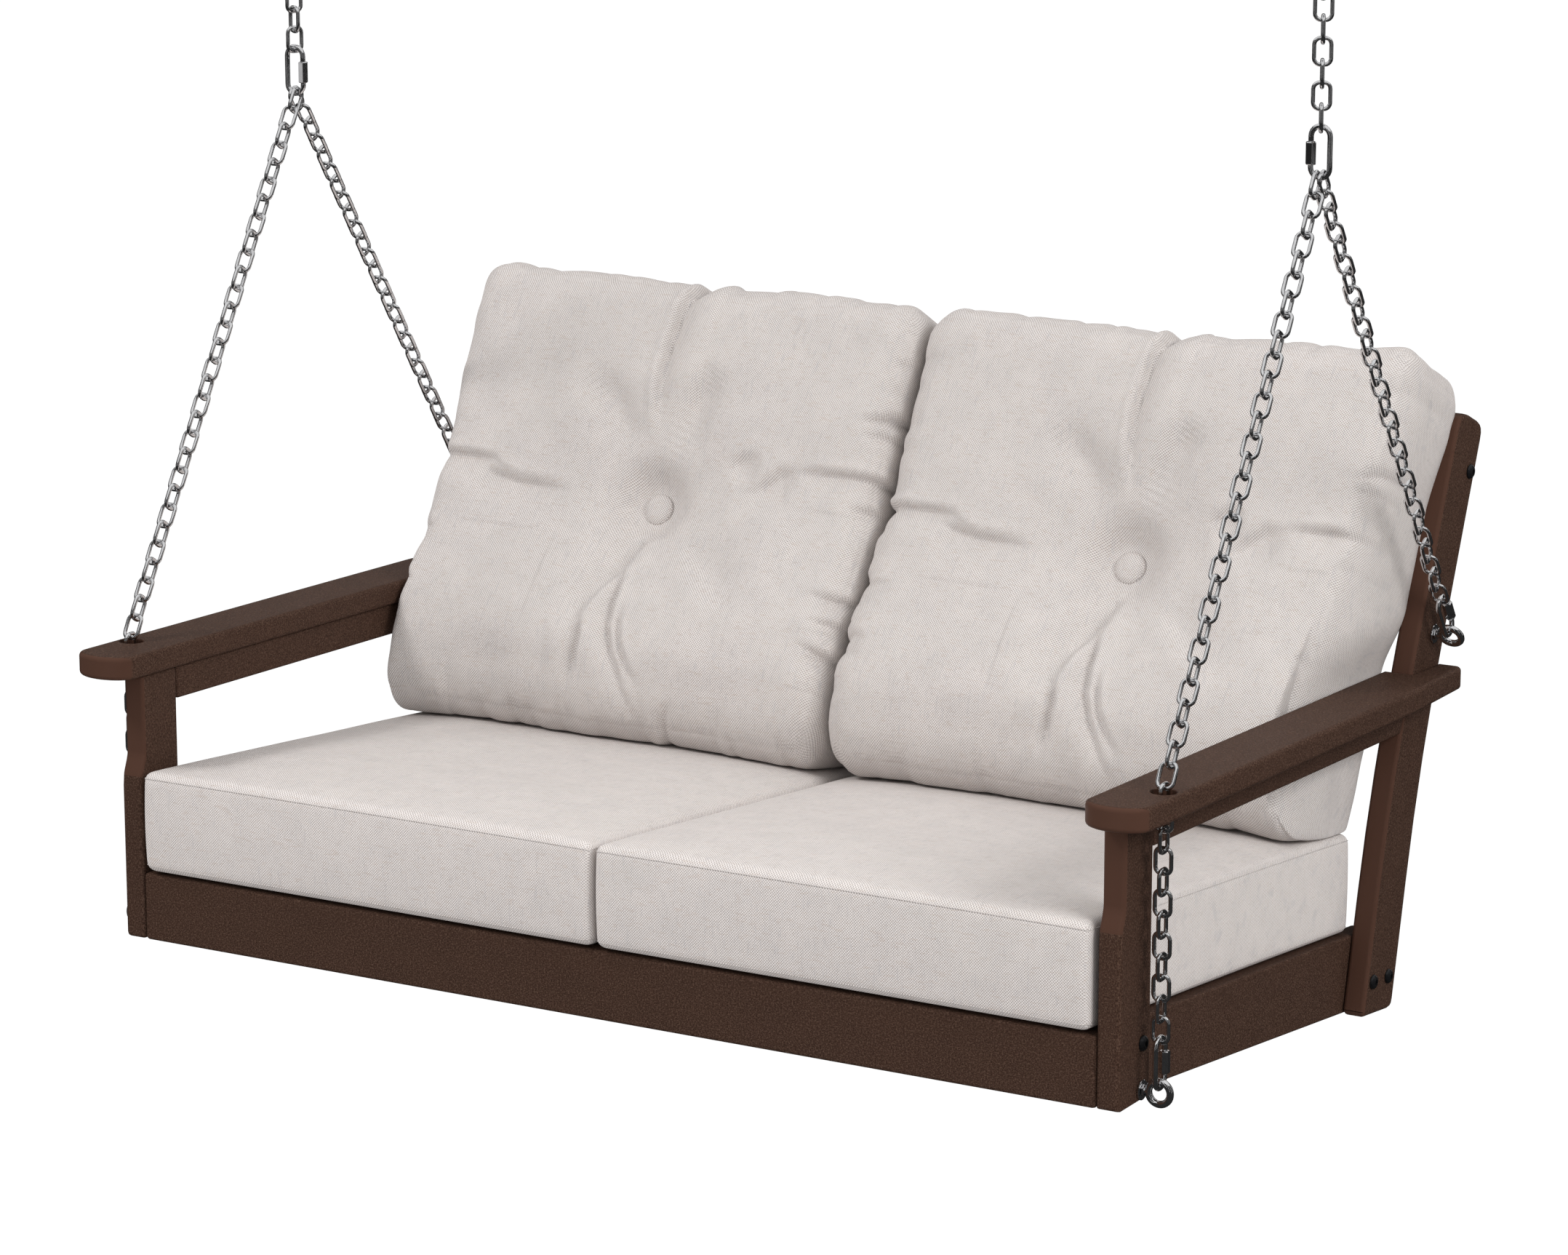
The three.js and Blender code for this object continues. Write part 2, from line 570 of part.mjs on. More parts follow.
// Everything that the right side has once; the left side is its mirror image.
function sideAssembly(side, mirror) {
  const group = new THREE.Group();
  const named = (name) => side + "_" + name;
  const rearEye = v3(CHAIN.x, REAR_EYE.y, REAR_EYE.z);
  const frontEye = v3(CHAIN.x, FRONT_EYE.y, FRONT_EYE.z);
  const upperBar = [v3(CHAIN.x, CHAIN.y, topLinkLow - 2), v3(CHAIN.x, CHAIN.y, upperLinkTop + LINK.wire + 2)];
  const halfLink = linkReach / 2 + linkHold;
  const atRearLink = rearEye.clone().addScaledVector(rearDirection, halfLink);
  const atFrontLink = frontEye.clone().add(v3(0, 0, halfLink));
  group.add(
    node(named("front_post"), frontPost(), lumber()),
    node(named("back_leg"), backLeg(), lumber()),
    node(named("arm_rail"), armRail(), lumber()),
    node(named("arm"), armBoard(), lumber()),
    node(named("side_apron"), sideApron(), lumber()),
    node(named("seat_cushion"), seatCushion(), fabric()),
    node(named("back_cushion"), backCushion(), fabric()),
    node(named("cushion_button"), cushionButton(), fabric()),
    boltAt(named("leg_top_bolt"), LEG_TOP_BOLT.y, LEG_TOP_BOLT.z),
    boltAt(named("post_bolt"), POST_BOLT.y, POST_BOLT.z),
    node(named("front_chain"), chainBar(frontChainPath()), chrome()),
    node(named("rear_chain"), chainBar(rearChainPath()), chrome()),
    node(named("upper_chain"), chainBar(upperBar), chrome()),
    placed(frontEye, 0, 0, [node(named("front_eye_bolt"), eyeBolt(2 * BOARD + GAP), chrome())]),
    placed(rearEye, rearTurn, 0, [node(named("rear_eye_bolt"), eyeBolt(BOARD), chrome())]),
    placed(v3(CHAIN.x, CHAIN.y, hookZ), 0, 0, [node(named("ceiling_hook"), ceilingHook(), chrome())]),
    placed(v3(CHAIN.x, CHAIN.y, topLinkZ), 0, Math.PI / 2, [node(named("top_link"), chainLink(), chrome())]),
    quickLinkWithSleeve(named("front_quick_link"), atFrontLink, 0, Math.PI / 2),
    quickLinkWithSleeve(named("rear_quick_link"), atRearLink, rearTurn, Math.PI / 2),
    quickLinkWithSleeve(named("upper_quick_link"), pivot.clone().add(v3(0, 0, linkReach / 2)), 0, Math.PI),
  );
  group.scale.x = mirror;
  return group;
}

swing.add(sideAssembly("right", 1), sideAssembly("left", -1));
swing.add(
  node("front_apron", frontApron(), lumber()),
  node("rear_apron", rearApron(), lumber()),
  node("back_top_rail", backTopRail(), lumber()),
  node("centre_joist", centreJoist(), lumber()),
  node("front_stiffener", frontStiffener(), blackSteel()),
);
for (let i = 0; i < SEAT_SLAT.count; i += 1) {
  swing.add(node("seat_slat_" + (i + 1), seatSlat(i), lumber()));
}
for (let i = 0; i < BACK_SLAT.count; i += 1) {
  const middle = (i - (BACK_SLAT.count - 1) / 2) * BACK_SLAT.pitch;
  const [x0, x1] = [middle - BACK_SLAT.width / 2, middle + BACK_SLAT.width / 2];
  const slat = backBoard(x0, x1, BACK_SLAT.bottom, BACK_SLAT.top, 0, BACK_SLAT.thick / Math.cos(backTilt));
  swing.add(node("back_slat_" + (i + 1), slat, lumber()));
}

swing.position.set(0, -CHAIN.y, -CEILING_Z);

export default swing;
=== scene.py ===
"""Looks for the porch swing: plastic lumber frame, woven cushions, bright chain and fittings."""

import math

import bpy
import numpy as np
from mathutils import Matrix, Vector, noise
from mathutils.geometry import tessellate_polygon


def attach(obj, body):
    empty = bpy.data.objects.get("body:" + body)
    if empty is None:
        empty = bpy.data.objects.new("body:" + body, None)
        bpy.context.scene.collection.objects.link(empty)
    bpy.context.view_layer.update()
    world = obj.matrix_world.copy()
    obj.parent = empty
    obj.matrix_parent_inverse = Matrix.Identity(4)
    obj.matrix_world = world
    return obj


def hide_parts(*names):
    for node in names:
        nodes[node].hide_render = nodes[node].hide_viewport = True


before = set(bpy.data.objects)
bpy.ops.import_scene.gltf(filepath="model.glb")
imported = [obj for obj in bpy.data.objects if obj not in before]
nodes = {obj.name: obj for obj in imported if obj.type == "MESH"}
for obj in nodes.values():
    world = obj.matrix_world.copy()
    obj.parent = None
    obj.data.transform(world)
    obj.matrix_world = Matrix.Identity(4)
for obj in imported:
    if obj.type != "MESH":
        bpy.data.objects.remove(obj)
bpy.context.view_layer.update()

# The seat's own frame, in millimetres: y = 0 at the front apron's face, z = 0 at its lower edge.
CHAIN_X, CHAIN_Y, CEILING_Z = 657.8, 400.0, 1172.9
SIDES = (("right", 1), ("left", -1))


def P(x, y, z):
    """A point of the seat's frame, in millimetres, as metres in the part's frame."""
    return Vector((x / 1000, (y - CHAIN_Y) / 1000, (z - CEILING_Z) / 1000))


# ---------------------------------------------------------------- camera, light and floor
CAMERA_PLACE = (2989.657, -4740.570, 1774.998)
CAMERA_DOWN, CAMERA_TURN = 13.4024, 30.1418  # degrees
LENS_LENGTH = 123.299666  # millimetres, on a sensor 36 mm wide

scene = bpy.context.scene
scene.view_settings.view_transform = "Standard"
camera = bpy.data.objects.new("camera", bpy.data.cameras.new("camera"))
scene.collection.objects.link(camera)
camera.location = P(*CAMERA_PLACE)
camera.rotation_euler = (math.radians(90 - CAMERA_DOWN), 0, math.radians(CAMERA_TURN))
camera.data.sensor_width = 36
camera.data.sensor_fit = "HORIZONTAL"
camera.data.lens = LENS_LENGTH
camera.data.clip_end = 200
scene.camera = camera


def links_of(tree):
    def wire(a, b):
        tree.links.new(a, b)

    return wire


def world_light():
    """White studio: brightest overhead, a little weaker towards the floor."""
    world = bpy.data.worlds.new("studio")
    scene.world = world
    world.use_nodes = True
    tree = world.node_tree
    tree.nodes.clear()
    wire = links_of(tree)
    coords = tree.nodes.new("ShaderNodeTexCoord")
    split = tree.nodes.new("ShaderNodeSeparateXYZ")
    wire(coords.outputs["Generated"], split.inputs[0])
    sky = tree.nodes.new("ShaderNodeValToRGB")
    sky.color_ramp.elements[0].position = 0.30
    sky.color_ramp.elements[0].color = (0.60, 0.59, 0.59, 1)
    sky.color_ramp.elements[1].position = 0.85
    sky.color_ramp.elements[1].color = (1.0, 1.0, 1.0, 1)
    wire(math_node(tree, "MULTIPLY_ADD", split.outputs["Z"], 0.5, 0.5), sky.inputs[0])
    background = tree.nodes.new("ShaderNodeBackground")
    wire(sky.outputs[0], background.inputs["Color"])
    background.inputs["Strength"].default_value = 0.82
    out = tree.nodes.new("ShaderNodeOutputWorld")
    wire(background.outputs[0], out.inputs[0])


def math_node(tree, operation, *values):
    node = tree.nodes.new("ShaderNodeMath")
    node.operation = operation
    for socket, value in zip(node.inputs, values):
        if isinstance(value, (int, float)):
            socket.default_value = value
        else:
            tree.links.new(value, socket)
    return node.outputs[0]


def area_light(name, position, target, size, power):
    data = bpy.data.lights.new(name, "AREA")
    data.energy = power
    data.size = size
    light = bpy.data.objects.new(name, data)
    scene.collection.objects.link(light)
    light.location = position
    light.rotation_euler = (target - position).to_track_quat("-Z", "Y").to_euler()
    light.visible_glossy = False


world_light()
area_light("key", P(-2900, -2600, 4400), P(0, 300, 300), 1.1, 114)
area_light("side", P(3800, -600, 2400), P(0, 300, 200), 1.6, 82)
area_light("front", P(600, -4600, 500), P(0, 300, 0), 2.4, 36)


# ---------------------------------------------------------------- materials
def new_material(name):
    material = bpy.data.materials.new(name)
    material.use_nodes = True
    tree = material.node_tree
    shader = tree.nodes["Principled BSDF"]
    coords = tree.nodes.new("ShaderNodeTexCoord")
    return material, tree, shader, coords


def stretched(tree, vector, scale, rotation=(0, 0, 0)):
    mapping = tree.nodes.new("ShaderNodeMapping")
    mapping.inputs["Scale"].default_value = scale
    mapping.inputs["Rotation"].default_value = rotation
    tree.links.new(vector, mapping.inputs["Vector"])
    return mapping.outputs[0]


def noise_texture(tree, vector, scale, detail=2.0, roughness=0.5):
    texture = tree.nodes.new("ShaderNodeTexNoise")
    texture.inputs["Scale"].default_value = scale
    texture.inputs["Detail"].default_value = detail
    texture.inputs["Roughness"].default_value = roughness
    tree.links.new(vector, texture.inputs["Vector"])
    return texture.outputs["Fac"]


def ramp_of(tree, value, stops):
    ramp = tree.nodes.new("ShaderNodeValToRGB")
    elements = ramp.color_ramp.elements
    while len(elements) < len(stops):
        elements.new(0.5)
    for element, (position, color) in zip(elements, stops):
        element.position = position
        element.color = (*color, 1) if len(color) == 3 else color
    tree.links.new(value, ramp.inputs[0])
    return ramp.outputs[0]


def mix_color(tree, factor, a, b):
    node = tree.nodes.new("ShaderNodeMix")
    node.data_type = "RGBA"
    for key, value in (("Factor", factor), ("A", a), ("B", b)):
        socket = node.inputs[key]
        if isinstance(value, tuple):
            socket.default_value = (*value, 1)
        elif isinstance(value, (int, float)):
            socket.default_value = value
        else:
            tree.links.new(value, socket)
    return node.outputs["Result"]


def bump_of(tree, shader, height, strength, distance):
    bump = tree.nodes.new("ShaderNodeBump")
    bump.inputs["Strength"].default_value = strength
    bump.inputs["Distance"].default_value = distance
    tree.links.new(height, bump.inputs["Height"])
    tree.links.new(bump.outputs[0], shader.inputs["Normal"])


def lumber_material(name, along, machined_above=None):
    """Solid plastic lumber, its grain drawn out along one axis. Machined faces are smoother and redder."""
    material, tree, shader, coords = new_material(name)
    scale = [1.0, 1.0, 1.0]
    scale["XYZ".index(along)] = 0.45
    grain_space = stretched(tree, coords.outputs["Object"], scale)
    fine = noise_texture(tree, grain_space, 1100, 2.0, 0.6)
    broad = noise_texture(tree, grain_space, 38, 3.0, 0.6)
    speck = noise_texture(tree, coords.outputs["Object"], 520, 1.0, 0.5)
    body = ramp_of(tree, fine, [
        (0.34, (0.029, 0.0148, 0.0098)),
        (0.50, (0.047, 0.0243, 0.0166)),
        (0.66, (0.084, 0.0475, 0.0335)),
    ])
    shade = ramp_of(tree, broad, [(0.35, (0.96, 0.96, 0.96)), (0.65, (1.04, 1.035, 1.03))])
    toned = tinted(tree, body, shade)
    sparkle = ramp_of(tree, speck, [(0.50, (0, 0, 0)), (0.72, (1, 1, 1))])
    color = mix_color(tree, math_node(tree, "MULTIPLY", sparkle, 0.5), toned, (0.14, 0.086, 0.062))
    rough = math_node(tree, "MULTIPLY_ADD", fine, 0.35, 0.40)
    height = math_node(tree, "ADD", fine, math_node(tree, "MULTIPLY", speck, 0.7))
    if machined_above is not None:
        normal = tree.nodes.new("ShaderNodeSeparateXYZ")
        tree.links.new(coords.outputs["Normal"], normal.inputs[0])
        place = tree.nodes.new("ShaderNodeSeparateXYZ")
        tree.links.new(coords.outputs["Object"], place.inputs[0])
        facing = math_node(tree, "MULTIPLY", normal.outputs["Y"], -1.0)
        facing = math_node(tree, "SUBTRACT", facing, 0.25)
        facing = math_node(tree, "MULTIPLY", facing, 8.0)
        facing = math_node(tree, "MINIMUM", math_node(tree, "MAXIMUM", facing, 0.0), 1.0)
        high = math_node(tree, "GREATER_THAN", place.outputs["Z"], machined_above)
        smooth = math_node(tree, "MULTIPLY", facing, high)
        color = mix_color(tree, smooth, color, (0.074, 0.036, 0.0245))
        rough = math_node(tree, "SUBTRACT", rough, math_node(tree, "MULTIPLY", smooth, 0.12))
        grain_left = math_node(tree, "SUBTRACT", 1.0, math_node(tree, "MULTIPLY", smooth, 0.85))
        height = math_node(tree, "MULTIPLY", height, grain_left)
    tree.links.new(color, shader.inputs["Base Color"])
    tree.links.new(rough, shader.inputs["Roughness"])
    shader.inputs["Specular IOR Level"].default_value = 0.06
    bump_of(tree, shader, height, 0.5, 0.0003)
    return material


def tinted(tree, color, tint):
    node = tree.nodes.new("ShaderNodeMix")
    node.data_type = "RGBA"
    node.blend_type = "MULTIPLY"
    node.inputs["Factor"].default_value = 1.0
    tree.links.new(color, node.inputs["A"])
    tree.links.new(tint, node.inputs["B"])
    return node.outputs["Result"]


WEAVE_PERIOD = 0.0032  # metres


def fabric_material(name, lean, painted_light_scale):
    """Woven cloth: a checked weave laid on by the facing of each panel, so it needs no UVs, with slubs. Its
    last argument scales every colour, which paints light or shade into copies of the same cloth.
    """
    material, tree, shader, coords = new_material(name)

    # Every colour of the cloth is scaled by the painted light level.
    def tone(*color):
        return tuple(channel * painted_light_scale for channel in color)

    flat = stretched(tree, coords.outputs["Object"], (1, 1, 1), (lean, 0, 0))
    facing = stretched(tree, coords.outputs["Normal"], (1, 1, 1), (lean, 0, 0))
    wobble = tree.nodes.new("ShaderNodeTexNoise")
    wobble.inputs["Scale"].default_value = 45
    wobble.inputs["Detail"].default_value = 1.0
    tree.links.new(flat, wobble.inputs["Vector"])
    add = tree.nodes.new("ShaderNodeVectorMath")
    add.operation = "MULTIPLY_ADD"
    tree.links.new(wobble.outputs["Color"], add.inputs[0])
    add.inputs[1].default_value = (0.0016, 0.0016, 0.0016)
    tree.links.new(flat, add.inputs[2])
    split = tree.nodes.new("ShaderNodeSeparateXYZ")
    tree.links.new(add.outputs[0], split.inputs[0])
    turned = tree.nodes.new("ShaderNodeSeparateXYZ")
    tree.links.new(facing, turned.inputs[0])
    count = 2 * math.pi / WEAVE_PERIOD
    waves = {}
    for axis in "XYZ":
        phase = math_node(tree, "MULTIPLY", split.outputs[axis], count)
        waves[axis] = math_node(tree, "COSINE", phase)
    total, weight = None, None
    for axis, (a, b) in (("X", "YZ"), ("Y", "XZ"), ("Z", "XY")):
        strong = math_node(tree, "POWER", math_node(tree, "ABSOLUTE", turned.outputs[axis]), 6.0)
        check = math_node(tree, "MULTIPLY", waves[a], waves[b])
        check = math_node(tree, "MULTIPLY", check, strong)
        total = check if total is None else math_node(tree, "ADD", total, check)
        weight = strong if weight is None else math_node(tree, "ADD", weight, strong)
    weave = math_node(tree, "MULTIPLY_ADD", math_node(tree, "DIVIDE", total, weight), 0.5, 0.5)
    weft = noise_texture(tree, stretched(tree, flat, (0.2, 1.0, 1.0)), 420, 2.0, 0.6)
    warp = noise_texture(tree, stretched(tree, flat, (1.0, 0.13, 0.13)), 420, 2.0, 0.6)
    fleck = noise_texture(tree, flat, 330, 2.0, 0.6)
    cloudy = noise_texture(tree, flat, 30, 3.0, 0.6)
    base = ramp_of(tree, weave, [
        (0.20, tone(0.36, 0.325, 0.31)),
        (0.44, tone(0.56, 0.52, 0.50)),
        (0.66, tone(0.74, 0.70, 0.68)),
    ])
    beige = ramp_of(tree, weft, [(0.54, (0, 0, 0)), (0.70, (1, 1, 1))])
    grey = ramp_of(tree, warp, [(0.55, (0, 0, 0)), (0.72, (1, 1, 1))])
    spots = ramp_of(tree, fleck, [(0.60, (0, 0, 0)), (0.70, (1, 1, 1))])
    color = base
    for mask, amount, yarn in (
        (beige, 0.35, tone(0.47, 0.385, 0.33)),
        (grey, 0.4, tone(0.43, 0.415, 0.425)),
        (spots, 0.35, tone(0.44, 0.385, 0.35)),
    ):
        color = mix_color(tree, math_node(tree, "MULTIPLY", mask, amount), color, yarn)
    tint = ramp_of(tree, cloudy, [(0.3, (0.96, 0.96, 0.96)), (0.7, (1.03, 1.025, 1.02))])
    tree.links.new(tinted(tree, color, tint), shader.inputs["Base Color"])
    shader.inputs["Roughness"].default_value = 0.94
    shader.inputs["Specular IOR Level"].default_value = 0.1
    height = math_node(tree, "ADD", weave, math_node(tree, "MULTIPLY", weft, 0.6))
    bump_of(tree, shader, height, 0.4, 0.0006)
    return material


def metal_material(name, color, roughness, metallic=1.0, wear=0.03):
    material, tree, shader, coords = new_material(name)
    scuff = noise_texture(tree, coords.outputs["Object"], 160, 3.0, 0.6)
    rough = math_node(tree, "MULTIPLY_ADD", scuff, wear, roughness - wear / 2)
    dark = tuple(c * 0.86 for c in color)
    tree.links.new(rough, shader.inputs["Roughness"])
    tree.links.new(ramp_of(tree, scuff, [(0.35, dark), (0.65, color)]), shader.inputs["Base Color"])
    shader.inputs["Metallic"].default_value = metallic
    bump_of(tree, shader, scuff, 0.03, 0.0003)
    return material


SEAT_BASE, SEAT_SLOPE = 83.2, 0.094
SEAT_TILT = math.atan(SEAT_SLOPE)
BACK_RUN, BACK_RISE = 260, 510
LEAN = math.atan2(BACK_RUN, BACK_RISE)
POST_SHOULDER = 192  # the front post's face is machined above this height
EVERYWHERE = -9.0  # a height in metres that is below the whole part

lumber = {axis: lumber_material("plastic_lumber_" + axis, axis) for axis in "XYZ"}
lumber_arm = lumber_material("plastic_lumber_arm", "Y", EVERYWHERE)
lumber_post = lumber_material("plastic_lumber_post", "Z", P(0, 0, POST_SHOULDER).z)
lumber_leg = lumber_material("plastic_lumber_leg", "Z", EVERYWHERE)
# The seat and the back are the same cloth. The seat's copy is painted lighter and the back's copy darker, as
# painted light and shade. The seam cord is drawn a little darker still.
seat_fabric = fabric_material("woven_fabric_seat", SEAT_TILT, 1.05)
back_fabric = fabric_material("woven_fabric_back", LEAN, 0.93)
seam_fabric = fabric_material("woven_fabric_seam", 0.3, 0.9)
bright = metal_material("bright_steel", (0.78, 0.78, 0.79), 0.1)
black = metal_material("black_bolt", (0.02, 0.02, 0.022), 0.35, 0.6, 0.1)


def paint(obj, material):
    obj.data.materials.clear()
    obj.data.materials.append(material)


# ---------------------------------------------------------------- CAD boards
def soften(node, material, width=0.005, segments=3):
    """Rounds a board's edges over its unchanged CAD mesh."""
    obj = nodes[node]
    paint(obj, material)
    obj.data.shade_smooth()
    weld = obj.modifiers.new("weld", "WELD")
    weld.merge_threshold = 1e-5
    flat = obj.modifiers.new("flat", "DECIMATE")
    flat.decimate_type = "DISSOLVE"
    flat.angle_limit = math.radians(0.5)
    bevel = obj.modifiers.new("bevel", "BEVEL")
    bevel.width = width
    bevel.segments = segments
    bevel.limit_method = "ANGLE"
    bevel.angle_limit = math.radians(32)
    bevel.use_clamp_overlap = False
    normals = obj.modifiers.new("normals", "WEIGHTED_NORMAL")
    normals.keep_sharp = True


for side, _ in SIDES:
    soften(side + "_front_post", lumber_post)
    soften(side + "_back_leg", lumber_leg)
    soften(side + "_arm_rail", lumber["Y"], 0.004)
    soften(side + "_side_apron", lumber["Y"], 0.0045)
for board in ("front_apron", "rear_apron", "back_top_rail"):
    soften(board, lumber["X"], 0.0045)
soften("centre_joist", lumber["Y"], 0.003)
for name in sorted(nodes):
    if name.startswith("seat_slat"):
        soften(name, lumber["X"], 0.004)
    if name.startswith("back_slat"):
        soften(name, lumber["Z"], 0.004)
soften("front_stiffener", black, 0.002)


# ---------------------------------------------------------------- meshes
def mesh_object(name, vertices, faces, material, smooth=True):
    mesh = bpy.data.meshes.new(name)
    mesh.from_pydata([tuple(v) for v in vertices], [], faces)
    mesh.update()
    obj = bpy.data.objects.new(name, mesh)
    scene.collection.objects.link(obj)
    paint(obj, material)
    if smooth:
        mesh.shade_smooth()
    return obj


def tube(path, radius, sides, across, closed=True):
    """Round wire along a flat path; across is the normal of the path's plane."""
    vertices, faces = [], []
    count = len(path)
    for i, point in enumerate(path):
        before = path[(i - 1) % count] if closed or i > 0 else point
        after = path[(i + 1) % count] if closed or i < count - 1 else point
        tangent = (after - before).normalized()
        side = tangent.cross(across).normalized()
        for k in range(sides):
            angle = 2 * math.pi * k / sides
            spoke = across * (radius * math.cos(angle)) + side * (radius * math.sin(angle))
            vertices.append(point + spoke)
    for i in range(count if closed else count - 1):
        a, b = i * sides, ((i + 1) % count) * sides
        for k in range(sides):
            m = (k + 1) % sides
            faces.append((a + k, b + k, b + m, a + m))
    if not closed:
        faces.append(tuple(range(sides)))
        faces.append(tuple(reversed(range((count - 1) * sides, count * sides))))
    return vertices, faces


def stadium(half_width, half_length, steps):
    """Centreline of a quick link in the XZ plane, in millimetres."""
    straight = half_length - half_width
    top = []
    for i in range(steps + 1):
        angle = math.pi * i / steps
        top.append((half_width * math.cos(angle), straight + half_width * math.sin(angle)))
    bottom = [(-x, -z) for x, z in top]
    return [Vector((x, 0, z)) for x, z in top + bottom]


def link_outline(half_width, half_length, corner, steps):
    """Centreline of a chain link in the XZ plane: straight sides and rounded, slightly flat ends."""
    points = []
    for x, z, start in ((1, 1, 0), (-1, 1, 90), (-1, -1, 180), (1, -1, 270)):
        for i in range(steps + 1):
            angle = math.radians(start + 90 * i / steps)
            across = x * (half_width - corner) + corner * math.cos(angle)
            points.append(Vector((across, 0, z * (half_length - corner) + corner * math.sin(angle))))
    return points


def transformed(shape, matrix):
    vertices, faces = shape
    return [matrix @ v for v in vertices], faces


def merged(shapes):
    vertices, faces = [], []
    for v, f in shapes:
        base = len(vertices)
        vertices += v
        faces += [tuple(base + i for i in face) for face in f]
    return vertices, faces


def lathe(profile, sides):
    """Turned shape of [radius, height] points about Z; a radius of zero closes it."""
    vertices, faces, rings = [], [], []
    for radius, height in profile:
        if radius < 1e-6:
            rings.append([len(vertices)])
            vertices.append(Vector((0, 0, height)))
        else:
            rings.append(list(range(len(vertices), len(vertices) + sides)))
            for k in range(sides):
                angle = 2 * math.pi * k / sides
                vertices.append(Vector((radius * math.cos(angle), radius * math.sin(angle), height)))
    for low, high in zip(rings, rings[1:]):
        for k in range(sides):
            m = (k + 1) % sides
            if len(low) == 1:
                faces.append((low[0], high[m], high[k]))
            elif len(high) == 1:
                faces.append((low[k], low[m], high[0]))
            else:
                faces.append((low[k], low[m], high[m], high[k]))
    return vertices, faces


ALONG_X = Matrix.Rotation(math.pi / 2, 4, "Y")


# ---------------------------------------------------------------- arms
ARM_INNER, ARM_OUTER, ARM_LOW, ARM_THICK, ARM_SLOPE = 602.0, 677.0, 310.0, 27.0, -0.034
ARM_HOLE, ARM_HOLE_RADIUS, ARM_HOLE_RIM = Vector((CHAIN_X - 1, 52.0)), 14, 1.0
ARM_EDGE = 5.0


def corner_arc(x, y, rx, ry, start, end, steps):
    """Points of an ellipse's arc about a centre, with angles in degrees."""
    angles = [math.radians(start + (end - start) * i / steps) for i in range(steps + 1)]
    return [Vector((x + rx * math.cos(a), y + ry * math.sin(a))) for a in angles]


def inset_loop(loop, inset):
    """The loop moved inwards by this much, square to each edge."""
    moved = []
    for i, point in enumerate(loop):
        before = (point - loop[i - 1]).normalized()
        after = (loop[(i + 1) % len(loop)] - point).normalized()
        a = Vector((-before.y, before.x))
        b = Vector((-after.y, after.x))
        moved.append(point + (a + b) * (inset / (1 + a.dot(b))))
    return moved


def arm_board(side, mirror):
    """The arm with round edges, a crisp hole for the chain, and a notch that its leg's front fills."""
    half = (ARM_OUTER - ARM_INNER) / 2
    notch_y, notch_lean = 724.2, 0.41
    plan = corner_arc(ARM_INNER + half, -12, half, 28, 180, 360, 24)
    plan += [Vector((ARM_OUTER, 640))] + corner_arc(661, 796, 7, 7, 5, 90, 5)
    plan += corner_arc(640.9, 799, 4, 4, 90, 180, 4)
    notch_from = len(plan)
    plan += [Vector((636.9, notch_y))] + corner_arc(606, notch_y - 4, 4, 4, 90, 180, 4)
    levels = [(ARM_EDGE + 0.5, 0.0)]
    for i in range(6):
        angle = math.radians(90 * i / 5)
        levels.append((ARM_EDGE * (1 - math.sin(angle)), ARM_EDGE * (1 - math.cos(angle))))
    levels.append((0.0, ARM_EDGE + 0.5))
    levels += [(inset, ARM_THICK - height) for inset, height in reversed(levels)]
    vertices, faces, rings = [], [], []

    def add_ring(loop, height, leaning):
        rings.append(range(len(vertices), len(vertices) + len(loop)))
        for i, point in enumerate(loop):
            z = ARM_LOW + height + ARM_SLOPE * point.y
            lean = notch_lean * (z - 300) if leaning and i >= notch_from else 0.0
            vertices.append(P(point.x * mirror, point.y + lean, z + ARM_SLOPE * lean))

    def join(low, high):
        for k in range(len(low)):
            m = (k + 1) % len(low)
            faces.append((low[k], low[m], high[m], high[k]))

    for inset, height in levels:
        add_ring(inset_loop(plan, inset), height, True)
    for low, high in zip(rings, rings[1:]):
        join(low, high)
    outer_low, outer_high = rings[0], rings[-1]
    rings.clear()
    flare = [(ARM_HOLE_RIM, 0.0), (0.3, 0.3), (0.0, ARM_HOLE_RIM)]
    flare += [(wider, ARM_THICK - height) for wider, height in reversed(flare)]
    for wider, height in flare:
        radius = ARM_HOLE_RADIUS + wider
        circle = corner_arc(ARM_HOLE.x, ARM_HOLE.y, radius, radius, 0, 360, 48)[:-1]
        add_ring(circle, height, False)
    for low, high in zip(rings, rings[1:]):
        join(high, low)
    smooth_count = len(faces)
    for outer, hole, up in ((outer_low, rings[0], False), (outer_high, rings[-1], True)):
        numbers = list(outer) + list(hole)
        loops = [[vertices[i].to_2d().to_3d() for i in ring] for ring in (outer, hole)]
        for triangle in tessellate_polygon(loops):
            a, b, c = (numbers[i] for i in triangle)
            turn = (vertices[b] - vertices[a]).cross(vertices[c] - vertices[a]).z * mirror
            faces.append((a, b, c) if (turn > 0) == up else (c, b, a))
    if mirror < 0:
        faces = [tuple(reversed(face)) for face in faces]
    arm = mesh_object(side + "_arm_board", vertices, faces, lumber_arm)
    for polygon in arm.data.polygons[smooth_count:]:
        polygon.use_smooth = False
    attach(arm, "seat")
    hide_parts(side + "_arm")


for side, mirror in SIDES:
    arm_board(side, mirror)


# ---------------------------------------------------------------- chains
WIRE, HALF_WIDTH, LINK_CORNER = 2.3, 9.0, 6.8
LINK_REACH = 55.0
EYE_HOLD = 5.2
PIVOT = Vector((CHAIN_X, CHAIN_Y, 923.5))
FRONT_EYE = Vector((CHAIN_X, 52, 11.5))
REAR_EYE = Vector((CHAIN_X, 789, 347))


def point_along(path, distance):
    """The point this far along a run of straight stretches, carried on past its ends."""
    for i, (a, b) in enumerate(zip(path, path[1:])):
        length = (b - a).length
        if distance <= length or i == len(path) - 2:
            return a + (b - a).normalized() * distance
        distance -= length


